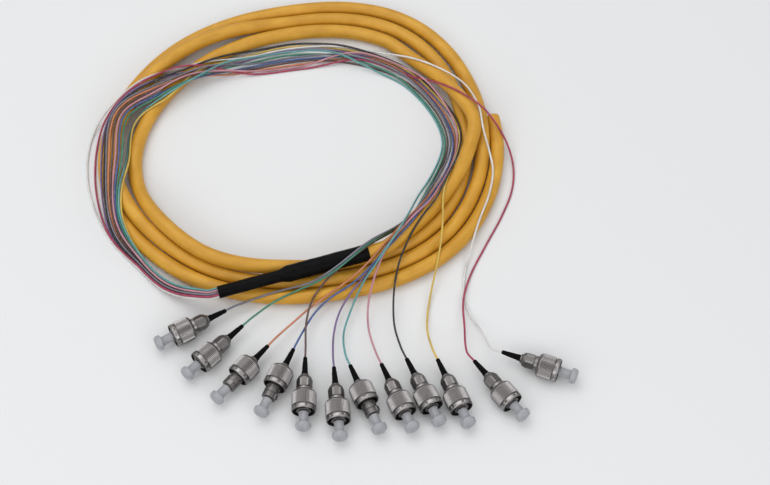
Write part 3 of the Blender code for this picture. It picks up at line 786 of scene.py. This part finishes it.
def lay_everything():
    """Middle lines of the cable, the sleeve and the fibres, in the object's frame."""
    pile = Pile()
    plan = cable_plan()
    start, end = sleeve_heights()
    length = sleeve_profile()[-1][0]
    last = len(plan) - 1
    slope = (end - start) / length
    held = {last: start - slope * END_GAP, last - 1: start - slope * STRAIGHT_IN}
    heights = pile.lay(plan, CABLE_DIAMETER / 2, CABLE_GAP, CABLE_STIFFNESS, held, True, spacing=2.0 * MM)
    cable = np.column_stack([plan, heights])
    pile.add(cable, CABLE_DIAMETER / 2)
    sleeve = np.array([
        [*(SLEEVE_START + SLEEVE_HEADING * along), start + slope * along] for along in (0.0, length)
    ])
    for first, last, width in (
        (0.0, SLEEVE_WIDE_SHARE, SLEEVE_WIDE_DIAMETER), (SLEEVE_WIDE_SHARE, 1.0, SLEEVE_NARROW_DIAMETER),
    ):
        pile.add(sleeve[0] + (sleeve[1] - sleeve[0]) * np.array([[first], [last]]), width / 2)
    fibres = {}
    for number in sorted(SIDE_ORDER, key=fibre_level):
        plan = fibre_plan(number, FIBRE_POINT_COUNT)
        exit_height = end + fibre_exit(number)[1]
        last = len(plan) - 1
        held = {0: exit_height, 1: exit_height, last - 1: axis_height(), last: axis_height()}
        heights = pile.lay(plan, FIBRE_DIAMETER / 2, FIBRE_GAP, FIBRE_STIFFNESS, held, free=BUNDLE_FREE)
        line = np.column_stack([plan, heights])
        pile.add(line, FIBRE_DIAMETER / 2)
        fibres[number] = line
    centre = np.array(COIL_CENTRE)
    return cable + centre, sleeve + centre, {number: line + centre for number, line in fibres.items()}


# Meshes


def keep_own_place(mesh, places):
    """Keeps each point's place on the piece itself beside it, for the finishes to read."""
    kept = mesh.attributes.new("own_place", "FLOAT_VECTOR", "POINT")
    kept.data.foreach_set("vector", np.asarray(places, np.float32).reshape(-1))


def belongs(piece, body, node):
    """A piece moves with a body and stands in for a CAD node, which it hides."""
    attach(piece, body)
    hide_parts(node)


def skin(name, rings, own, look, closed=False, crease=38):
    """A smooth mesh of rings, each a row of places, with each point's place on the piece kept beside it."""
    count, sides, _ = rings.shape
    faces = []
    for i in range(count if closed else count - 1):
        a, b = i * sides, (i + 1) % count * sides
        for k in range(sides):
            m = (k + 1) % sides
            faces.append((a + k, a + m, b + m, b + k))
    mesh = bpy.data.meshes.new(name)
    mesh.from_pydata(rings.reshape(-1, 3).tolist(), [], faces)
    keep_own_place(mesh, own)
    work = bmesh.new()
    work.from_mesh(mesh)
    bmesh.ops.remove_doubles(work, verts=work.verts, dist=1e-7)
    bmesh.ops.recalc_face_normals(work, faces=work.faces)
    work.to_mesh(mesh)
    work.free()
    mesh.polygons.foreach_set("use_smooth", [True] * len(mesh.polygons))
    mesh.set_sharp_from_angle(angle=math.radians(crease))
    mesh.materials.append(look)
    return put_in_scene(name, mesh)


def frames_along(path):
    """Tangent, side and up at each point of a path, turned as little as the path allows."""
    tangents = np.gradient(path, axis=0)
    tangents /= np.linalg.norm(tangents, axis=1)[:, None]
    side = np.cross(tangents[0], (0.0, 0.0, 1.0))
    sides = []
    for tangent in tangents:
        side = side - tangent * (side @ tangent)
        side /= np.linalg.norm(side)
        sides.append(side)
    sides = np.array(sides)
    return tangents, sides, np.cross(sides, tangents)


def swept(name, path, profile, sides, look, shape=None):
    """A round piece along a path. Its profile is distance along the path and radius; shape bends a radius."""
    along = lengths_along(path)
    tangents, across, up = frames_along(path)
    at, radius = np.array(profile).T
    inside = at.clip(0.0, along[-1])

    def read(values):
        return np.column_stack([np.interp(inside, along, values[:, k]) for k in range(3)])

    middle = read(path) + read(tangents) * (at - inside)[:, None]
    across, up = read(across), read(up)
    turn = np.arange(sides) * 2 * math.pi / sides
    radius = radius[:, None] * np.ones(sides)
    if shape:
        radius = radius * shape(at[:, None], turn[None, :])
    y = radius * np.cos(turn)
    z = radius * np.sin(turn)
    rings = middle[:, None] + across[:, None] * y[:, :, None] + up[:, None] * z[:, :, None]
    own = np.dstack([at[:, None] * np.ones(sides), y, z])
    return skin(name, rings, own, look)


def eased(corners, steps=3, closed=False):
    """A profile with its corners rounded. Each corner is a radius, a height and the size of its rounding."""
    line = []
    count = len(corners)
    for i, (radius, height, size) in enumerate(corners):
        here = Vector((radius, height))
        if size == 0 or (not closed and i in (0, count - 1)):
            line.append((radius, height))
            continue
        into = Vector(corners[i - 1][:2]) - here
        onto = Vector(corners[(i + 1) % count][:2]) - here
        first = here + into.normalized() * min(size, 0.48 * into.length)
        second = here + onto.normalized() * min(size, 0.48 * onto.length)
        for k in range(steps + 1):
            t = k / steps
            line.append(tuple(first * (1 - t) ** 2 + here * 2 * t * (1 - t) + second * t ** 2))
    return line


def fine_profile(profile, step):
    """The same profile with its long straight runs split."""
    line = [profile[0]]
    for (r0, z0), (r1, z1) in zip(profile[:-1], profile[1:]):
        parts = max(1, math.ceil(abs(z1 - z0) / step - 1e-4))
        line += [(r0 + (r1 - r0) * k / parts, z0 + (z1 - z0) * k / parts) for k in range(1, parts + 1)]
    return line


def turned(name, profile, sides, look, closed=False, cut=None, crease=38):
    """A turned piece about its own Z, from a profile in mm. cut moves its points, as a milled flat does."""
    turn = (np.arange(sides) + 0.5) * 2 * math.pi / sides
    radius, height = np.array(profile).T[:, :, None]
    places = np.dstack([radius * np.cos(turn), radius * np.sin(turn), height * np.ones(sides)])
    if cut:
        places = cut(places)
    places = places * MM
    return skin(name, places, places, look, closed, crease)


def from_sixth(x, y):
    """Angle from the nearest sixth of a turn."""
    return (np.arctan2(y, x) + SIXTH / 2) % SIXTH - SIXTH / 2


def pulled_in(places, chosen, reach):
    """The places with the chosen ones that lie beyond a radius brought in to it."""
    radius = np.hypot(places[:, :, 0], places[:, :, 1])
    share = np.where(chosen & (radius > reach), reach / np.maximum(radius, 1e-6), 1.0)
    places[:, :, :2] *= share[:, :, None]
    return places


def finished(made, number, roll=0.0):
    """Puts a connector's piece, made about its own Z, in its place on the floor. roll is in degrees."""
    x, y, turn = connector_pose(number)
    place = COIL_CENTRE + Vector((x, y, axis_height()))
    made.data.transform(
        Matrix.Translation(place) @ Matrix.Rotation(turn, 4, "Z") @ Matrix.Rotation(math.pi / 2, 4, "Y")
        @ Matrix.Rotation(math.radians(roll), 4, "Z")
    )
    return made


# Cable, sleeve and fibres


def make_cable(line, looks):
    """The jacket as one tube, hollow at its cut end, and what shows inside the cut."""
    path = smooth_through(line, CABLE_PATH_POINTS)
    radius = CABLE_DIAMETER / 2
    bore = radius - JACKET_WALL
    length = lengths_along(path)[-1]
    profile = [(2.2 * MM, 0.0), (2.2 * MM, bore), (0.10 * MM, bore), (0.0, bore + 0.08 * MM)]
    profile += [(0.0, radius - 0.12 * MM), (0.06 * MM, radius - 0.03 * MM), (0.2 * MM, radius)]
    profile += [(along, radius) for along in np.linspace(1.6 * MM, length - 0.4 * MM, 980)]
    profile += [(length + 1.6 * MM, radius), (length + 1.6 * MM, 0.0)]

    def lumps(along, turn):
        lay = np.sin(3 * turn + along * 260.0) * 0.006 + np.sin(turn - along * 95.0) * 0.008
        slow = np.sin(along * 41.0) * 0.004 + np.sin(along * 133.0 + 1.3) * 0.003
        return np.where(along < 0.3 * MM, 1.0, 1.0 + lay + slow)

    def tufts(along, turn):
        return 1.0 + 0.02 * np.sin(turn * 17) + 0.015 * np.sin(turn * 9 + along * 4000)

    jacket = swept("cable_jacket_skin", path, profile, 36, looks["jacket"], lumps)
    belongs(jacket, "cable", "cable_jacket")
    start = path[:30]
    profile = [
        (1.5 * MM, 0.0), (1.5 * MM, bore * 0.985), (0.55 * MM, bore * 0.98), (0.42 * MM, bore * 0.8),
        (0.5 * MM, bore * 0.4), (0.45 * MM, 0.0),
    ]
    core = [swept("cut_end_yarn", start, profile, 40, looks["yarn"], tufts)]
    belongs(core[0], "cable", "cable_jacket")
    tangents, across, up = frames_along(start)
    radius = FIBRE_DIAMETER / 2
    profile = [(0.0, 0.0), (0.0, 0.41 * MM), (0.04 * MM, radius), (1.3 * MM, radius), (1.3 * MM, 0.0)]
    spots = [
        (ring * MM, first + place * math.tau / count)
        for count, ring, first in CORE_RINGS for place in range(count)
    ]
    for index, (ring, turn) in enumerate(spots):
        number = index + 1
        shift = across[0] * ring * math.cos(turn) + up[0] * ring * math.sin(turn)
        out = (0.25 + 0.5 * noise.noise(Vector((index * 3.1, 0.4, 2.0)))) * MM
        stub = np.array([start[0] + shift + tangents[0] * (1.4 * MM * k / 5 - out) for k in range(6)])
        colour = COLOUR_OF[number]
        core.append(swept(f"cut_end_fibre_{number}", stub, profile, 14, looks[colour]))
        belongs(core[-1], "cable", "cable_jacket")


def make_sleeve(ends, looks):
    """The shrink sleeve: two steps, drawn tight on what is under it, with glue in its narrow mouth."""
    path = ends[:1] + (ends[1:] - ends[:1]) * np.linspace(0.0, 1.0, 60)[:, None]
    length = lengths_along(path)[-1]
    wide, narrow = SLEEVE_WIDE_DIAMETER / 2, SLEEVE_NARROW_DIAMETER / 2
    step = SLEEVE_WIDE_LENGTH + SLEEVE_STEP_LENGTH / 2
    cable = CABLE_DIAMETER / 2 + 0.06 * MM
    mouth = narrow - 0.5 * MM

    def radius_at(along):
        share = np.clip((along - step) / (2.2 * SLEEVE_STEP_LENGTH) + 0.5, 0.0, 1.0)
        share = share * share * (3 - 2 * share)
        return wide * (1 - share) + narrow * share

    profile = [(2.0 * MM, 0.0), (2.0 * MM, cable), (0.12 * MM, cable), (0.0, cable + 0.1 * MM)]
    profile += [(0.0, wide - 0.12 * MM), (0.06 * MM, wide - 0.02 * MM)]
    profile += [(along, radius_at(along)) for along in np.linspace(0.25 * MM, length - 0.25 * MM, 230)]
    profile += [
        (length - 0.05 * MM, narrow - 0.03 * MM), (length, narrow - 0.14 * MM), (length, narrow - 0.42 * MM),
        (length - 0.1 * MM, mouth), (length - 1.6 * MM, mouth), (length - 1.6 * MM, 0.0),
    ]

    def drawn(along, turn):
        under = np.clip((along - step) / (6 * MM), 0.0, 1.0)
        ribs = under * 0.020 * np.cos(9 * turn + 0.6 * np.sin(along * 210.0) + along * 40.0)
        sag = (1 - under) * 0.010 * np.cos(2 * turn + along * 55.0)
        waves = 0.008 * np.sin(along * 480.0 + 2 * turn) + 0.006 * np.sin(along * 1130.0 - 3 * turn)
        pinch = 0.018 * np.exp(-((along - step) / (2.5 * MM)) ** 2) * np.cos(13 * turn)
        edge = np.clip(np.minimum(along, length - along) / (1.5 * MM), 0.0, 1.0)
        return 1.0 + edge * (ribs + sag + waves + pinch)

    tube = swept("shrink_sleeve_tube", path, profile, 72, looks["sleeve"], drawn)
    profile = [
        (length - 1.3 * MM, 0.0), (length - 1.3 * MM, narrow - 0.45 * MM),
        (length - 0.55 * MM, narrow - 0.46 * MM), (length - 0.35 * MM, 1.5 * MM),
        (length - 0.2 * MM, 0.8 * MM), (length - 0.2 * MM, 0.0),
    ]
    plug = swept("sleeve_mouth_glue", path, profile, 40, looks["glue"])
    for piece in (tube, plug):
        belongs(piece, "cable", "breakout_sleeve")


def make_fibre(number, line, looks):
    """One tight-buffered fibre, from inside the sleeve's mouth to inside the tip of its boot."""
    path = smooth_through(line, FIBRE_PATH_POINTS)
    length = lengths_along(path)[-1]
    radius = FIBRE_DIAMETER / 2
    profile = [(-1.4 * MM, 0.0), (-1.4 * MM, radius)]
    profile += [(along, radius) for along in np.linspace(-0.7 * MM, length, 420)]
    profile += [(length + 1.8 * MM, radius), (length + 1.8 * MM, 0.0)]
    colour = COLOUR_OF[number]
    made = swept(f"buffered_fibre_{number}", path, profile, 12, looks[colour])
    belongs(made, "cable", f"fibre_{number}_{colour}")


# Connectors, in mm


def make_boot(number, looks):
    """Tapered rubber boot with a bore for the fibre, a rounded tip, and a collar that goes into the shell."""
    tip, end = BOOT_TIP_DIAMETER / 2, BOOT_END_DIAMETER / 2
    bore = FIBRE_DIAMETER / MM / 2 + 0.07
    inner = BOOT_LENGTH + 0.6
    corners = [
        (0.0, 1.2, 0.0), (bore, 1.2, 0.0), (bore, 0.0, 0.05), (tip, 0.0, 0.22), (tip + 0.12, 1.6, 0.2),
        (tip + 0.05, 1.75, 0.05), (tip + 0.08, 2.05, 0.05), (tip + 0.19, 2.2, 0.1),
        (end - 0.12, BOOT_LENGTH - 1.5, 0.3), (end, BOOT_LENGTH - 1.3, 0.1), (end, inner, 0.0),
        (0.0, inner, 0.0),
    ]
    return finished(turned(f"boot_{number}", eased(corners), 40, looks["rubber"]), number)


def make_metal_body(number, looks):
    """Shell with its six wrench flats, and the front body with its ring grooves."""
    rear = BOOT_LENGTH
    hole = BOOT_END_DIAMETER / 2 + 0.06
    neck = SHELL_REAR_DIAMETER / 2
    full = SHELL_DIAMETER / 2
    shoulder = rear + SHELL_SHOULDER
    flats_end = shoulder + FLATS_LENGTH
    front = rear + SHELL_LENGTH
    nose = FRONT_BODY_DIAMETER / 2
    tip = front + FRONT_BODY_LENGTH
    stem = FERRULE_DIAMETER / 2 + 0.12
    corners = [
        (0.0, rear + 0.5, 0.0), (hole, rear + 0.5, 0.0), (hole, rear, 0.05), (neck - 0.3, rear, 0.12),
        (neck - 0.2, rear + 0.7, 0.12), (neck + 0.5, rear + 1.0, 0.3), (full - 0.3, shoulder - 0.5, 0.5),
        (full, shoulder, 0.3), (full, flats_end, 0.05), (full - 0.55, flats_end + 0.06, 0.03),
        (full - 0.55, flats_end + 0.42, 0.03), (full - 0.08, flats_end + 0.5, 0.1),
        (full - 0.08, front - 0.2, 0.15), (nose, front, 0.08), (nose, front + 2.0, 0.08),
        (nose - 0.4, front + 2.15, 0.05), (nose - 0.4, front + 2.85, 0.05), (nose, front + 3.0, 0.08),
        (nose, front + 4.6, 0.08), (nose - 0.3, front + 4.7, 0.05), (nose - 0.3, front + 5.0, 0.05),
        (nose - 0.05, front + 5.1, 0.08), (nose - 0.05, tip - 0.1, 0.2), (nose - 0.5, tip, 0.05),
        (stem, tip, 0.05), (stem, tip - 0.8, 0.0), (0.0, tip - 0.8, 0.0),
    ]

    def milled(places):
        """Cuts the six flats, as far as the corners of the hexagon reach the round shoulder."""
        x, y, height = np.moveaxis(places, 2, 0)
        flat = (height > rear + 0.95) & (height < flats_end + 0.03)
        return pulled_in(places, flat, full * math.cos(SIXTH / 2) * 1.01 / np.cos(from_sixth(x, y)))

    profile = fine_profile(eased(corners), 0.2)
    made = turned(f"connector_metal_{number}", profile, 96, looks["nickel"], cut=milled, crease=24)
    return finished(made, number, CONNECTOR_POSES[number][3])


def make_key(number, looks):
    """The small locating key on the front body."""
    size = Vector((1.1, 1.9, 2.2)) * MM
    tip = BOOT_LENGTH + SHELL_LENGTH + FRONT_BODY_LENGTH
    middle = Vector((FRONT_BODY_DIAMETER / 2 - 0.05, 0.0, tip - 1.35)) * MM
    work = bmesh.new()
    bmesh.ops.create_cube(work, size=1.0)
    for vertex in work.verts:
        vertex.co = vertex.co * size + middle
    bmesh.ops.bevel(work, geom=list(work.edges), offset=0.12 * MM, segments=2, profile=0.5, affect="EDGES")
    mesh = bpy.data.meshes.new(f"locating_key_{number}")
    work.to_mesh(mesh)
    work.free()
    keep_own_place(mesh, [vertex.co[:] for vertex in mesh.vertices])
    mesh.materials.append(looks["nickel"])
    return finished(put_in_scene(mesh.name, mesh), number, CONNECTOR_POSES[number][3] + 90)


def make_ferrule(number, looks):
    start = BOOT_LENGTH + SHELL_LENGTH + FRONT_BODY_LENGTH
    end = start + FERRULE_LENGTH
    radius = FERRULE_DIAMETER / 2
    corners = [
        (0.0, start - 0.9, 0.0), (radius, start - 0.9, 0.0), (radius, end - 0.5, 0.15),
        (radius - 0.3, end, 0.15), (0.0, end, 0.0),
    ]
    return finished(turned(f"ferrule_{number}", eased(corners), 40, looks["ceramic"]), number)


def knurl_tree():
    """Geometry nodes that set straight knurl teeth round a turned ring and keep each point's own place."""
    tree = bpy.data.node_groups.new("straight_knurl", "GeometryNodeTree")
    for name, kind, way in (
        ("Geometry", "Geometry", "INPUT"), ("Teeth", "Int", "INPUT"), ("Radius", "Float", "INPUT"),
        ("Tooth Size", "Float", "INPUT"), ("Tooth Width", "Float", "INPUT"), ("Length", "Float", "INPUT"),
        ("Middle", "Float", "INPUT"), ("Material", "Material", "INPUT"), ("Geometry", "Geometry", "OUTPUT"),
    ):
        tree.interface.new_socket(name, in_out=way, socket_type="NodeSocket" + kind)

    def node(kind, settings=None, values=None, output=0):
        made = add_node(tree, kind, settings, values)
        return made.outputs[output] if made.outputs else made

    def maths(operation, *values):
        return node("ShaderNodeMath", {"operation": operation}, dict(enumerate(values)))

    given = tree.nodes.new("NodeGroupInput").outputs
    points = node("GeometryNodePoints", {}, {"Count": given["Teeth"]})
    turn = maths("DIVIDE", maths("MULTIPLY", node("GeometryNodeInputIndex"), math.tau), given["Teeth"])
    x, y = (maths("MULTIPLY", maths(way, turn), given["Radius"]) for way in ("COSINE", "SINE"))
    place = node("ShaderNodeCombineXYZ", {}, {0: x, 1: y, 2: given["Middle"]})
    placed = node("GeometryNodeSetPosition", {}, {"Geometry": points, "Position": place})
    tooth = node("GeometryNodeMeshCylinder", {}, {
        "Vertices": 3, "Radius": given["Tooth Size"], "Depth": given["Length"],
    }, "Mesh")
    set_out = node("GeometryNodeInstanceOnPoints", {}, {
        "Points": placed, "Instance": tooth, "Rotation": node("ShaderNodeCombineXYZ", {}, {2: turn}),
        "Scale": node("ShaderNodeCombineXYZ", {}, {0: 1.0, 1: given["Tooth Width"], 2: 1.0}),
    })
    joined = tree.nodes.new("GeometryNodeJoinGeometry")
    for part in (set_out, given["Geometry"]):
        tree.links.new(part, joined.inputs[0])
    whole = node("GeometryNodeRealizeInstances", {}, {0: joined.outputs[0]})
    kept = node("GeometryNodeStoreNamedAttribute", {"data_type": "FLOAT_VECTOR", "domain": "POINT"}, {
        "Geometry": whole, "Name": "own_place", "Value": node("GeometryNodeInputPosition"),
    })
    look = node("GeometryNodeSetMaterial", {}, {"Geometry": kept, "Material": given["Material"]})
    tree.links.new(look, tree.nodes.new("NodeGroupOutput").inputs[0])
    return tree


def make_nut(number, tree, looks):
    """Coupling nut: a collar behind, a straight knurl, a groove, a notched plain lip, and a thread inside."""
    rear = BOOT_LENGTH + NUT_SEAT - (NUT_PULLED_BACK if number in PULLED_BACK_NUTS else 0.0)
    front = rear + NUT_LENGTH
    wall = rear + NUT_REAR_WALL
    outer = NUT_DIAMETER / 2
    hole = SHELL_DIAMETER / 2 + NUT_CLEARANCE
    cavity = outer - NUT_FRONT_WALL
    land = outer - 0.24
    groove = land - 0.28
    lip = outer - 0.06
    knurl_start, knurl_end = rear + 1.35, front - 2.5
    corners = [
        (hole, rear, 0.15), (outer - 1.05, rear, 0.15), (outer - 0.3, rear + 0.75, 0.3),
        (outer - 0.12, rear + 1.15, 0.12), (land, knurl_start, 0.03), (land, knurl_end, 0.03),
        (groove, knurl_end + 0.1, 0.04), (groove, knurl_end + 0.5, 0.04), (lip, knurl_end + 0.65, 0.06),
        (lip, front - 0.45, 0.2), (outer - 0.36, front, 0.1), (outer - 0.52, front, 0.05),
        (cavity, front - 0.85, 0.1),
    ]
    z = front - 0.95
    while z > wall + 0.9:
        corners += [(cavity, z, 0.02), (cavity - THREAD_DEPTH, z - 0.3, 0.04), (cavity, z - 0.62, 0.02)]
        z -= THREAD_PITCH
    corners += [(cavity, wall, 0.05), (hole, wall, 0.1)]

    def notched(places):
        """Presses six short notches into the lip, between the groove and the front edge."""
        x, y, height = np.moveaxis(places, 2, 0)
        radius = np.hypot(x, y)
        sideways = np.abs(from_sixth(x, y)) * radius
        on_lip = (height > knurl_end + 0.55) & (height < front - 0.7) & (radius > land - 0.3)
        return pulled_in(places, on_lip & (sideways < 0.62), land - 0.26)

    profile = eased(corners, 2, True)
    made = turned(f"knurled_nut_{number}", profile, 108, looks["nut"], closed=True, cut=notched)
    knurl = made.modifiers.new("knurl", "NODES")
    knurl.node_group = tree
    sizes = {
        "Teeth": KNURL_TEETH, "Radius": (outer - KNURL_TOOTH) * MM, "Tooth Size": KNURL_TOOTH * MM,
        "Tooth Width": KNURL_TOOTH_WIDTH, "Length": (knurl_end - knurl_start) * MM,
        "Middle": (knurl_start + knurl_end) / 2 * MM, "Material": looks["nut"],
    }
    for socket in tree.interface.items_tree:
        if socket.in_out == "INPUT" and socket.name in sizes:
            knurl[socket.identifier] = sizes[socket.name]
    made.data.update()
    whole = bpy.data.meshes.new_from_object(made.evaluated_get(bpy.context.evaluated_depsgraph_get()))
    made.modifiers.clear()
    made.data = whole
    whole.name = made.name
    whole.materials.clear()
    whole.materials.append(looks["nut"])
    whole.materials.append(looks["bore"])
    # Faces inside the bore take the near-black material, which is painted shade.
    for face in whole.polygons:
        x, y, height = face.center / MM
        face.material_index = int(math.hypot(x, y) < outer - 0.53 and height > wall - 0.2)
    return finished(made, number, CONNECTOR_POSES[number][3] * 1.7)


def make_cap(number, looks):
    """Dust cap: mushroom head with a dimple, a waisted barrel and a blind bore over the ferrule."""
    body_front = BOOT_LENGTH + SHELL_LENGTH + FRONT_BODY_LENGTH
    shoulder = BOOT_LENGTH + NUT_SEAT + NUT_LENGTH + CAP_BARREL_SHOWN
    gap = END_GAP / MM
    rear = body_front + gap
    blind = body_front + FERRULE_LENGTH + gap
    top = shoulder + CAP_HEAD_LENGTH
    head, barrel = CAP_HEAD_DIAMETER / 2, CAP_BARREL_DIAMETER / 2
    bore = FERRULE_DIAMETER / 2 + CAP_CLEARANCE
    corners = [
        (0.0, top - 0.25, 0.0), (0.9, top - 0.22, 0.2), (1.3, top, 0.25), (head * 0.78, top, 0.5),
        (head, top - 0.9, 0.6), (head, shoulder + 0.35, 0.4), (head - 0.45, shoulder, 0.25),
        (barrel, shoulder, 0.45), (barrel, rear + 1.1, 0.3), (barrel + 0.12, rear + 0.5, 0.2),
        (barrel + 0.12, rear, 0.12), (bore, rear, 0.1), (bore, blind, 0.2), (0.0, blind, 0.0),
    ]
    return finished(turned(f"cap_{number}_moulding", eased(corners, 4), 56, looks["cap"]), number)


def make_connector(number, tree, looks):
    """All the pieces of one connector, in their places and on their bodies."""
    on_cable = [make(number, looks) for make in (make_boot, make_metal_body, make_key, make_ferrule)]
    nut = make_nut(number, tree, looks)
    cap = make_cap(number, looks)
    for piece in on_cable:
        belongs(piece, "cable", f"connector_body_{number}")
    belongs(nut, f"nut_{number}", f"coupling_nut_{number}")
    belongs(cap, f"cap_{number}", f"dust_cap_{number}")
    return [*on_cable, nut, cap]


FIBRE_COLOURS = {
    "blue": (0.055, 0.105, 0.30), "orange": (0.58, 0.205, 0.09), "green": (0.04, 0.22, 0.14),
    "brown": (0.10, 0.050, 0.042), "slate": (0.17, 0.17, 0.21), "white": (0.74, 0.73, 0.71),
    "red": (0.38, 0.03, 0.085), "black": (0.010, 0.010, 0.014), "yellow": (0.66, 0.46, 0.08),
    "violet": (0.19, 0.12, 0.27), "rose": (0.52, 0.24, 0.29), "aqua": (0.10, 0.32, 0.32),
}


def main():
    set_camera()
    set_light()
    make_floor()
    looks = {
        "jacket": jacket_vinyl(), "sleeve": shrink_black(), "rubber": boot_rubber(), "cap": cap_plastic(),
        # The third number given to nickel weights its random grime and the painted shade in its recesses.
        "nickel": nickel("nickel_body", SHELL_DIAMETER / 2 * MM, 0.7, 0.72),
        "nut": nickel("nickel_nut", NUT_DIAMETER / 2 * MM, 0.85, 1.0), "bore": bore_painted_shade(),
        "ceramic": ferrule_ceramic(), "yarn": yarn(), "glue": glue(),
    }
    for colour, value in FIBRE_COLOURS.items():
        looks[colour] = buffer_coat("buffer_" + colour, value, tuple(0.5 + 0.5 * part for part in value))
    cable, sleeve, fibres = lay_everything()
    make_cable(cable, looks)
    make_sleeve(sleeve, looks)
    tree = knurl_tree()
    for number in CONNECTOR_POSES:
        connector = make_connector(number, tree, looks)
        make_fibre(number, fibres[number], looks)


main()
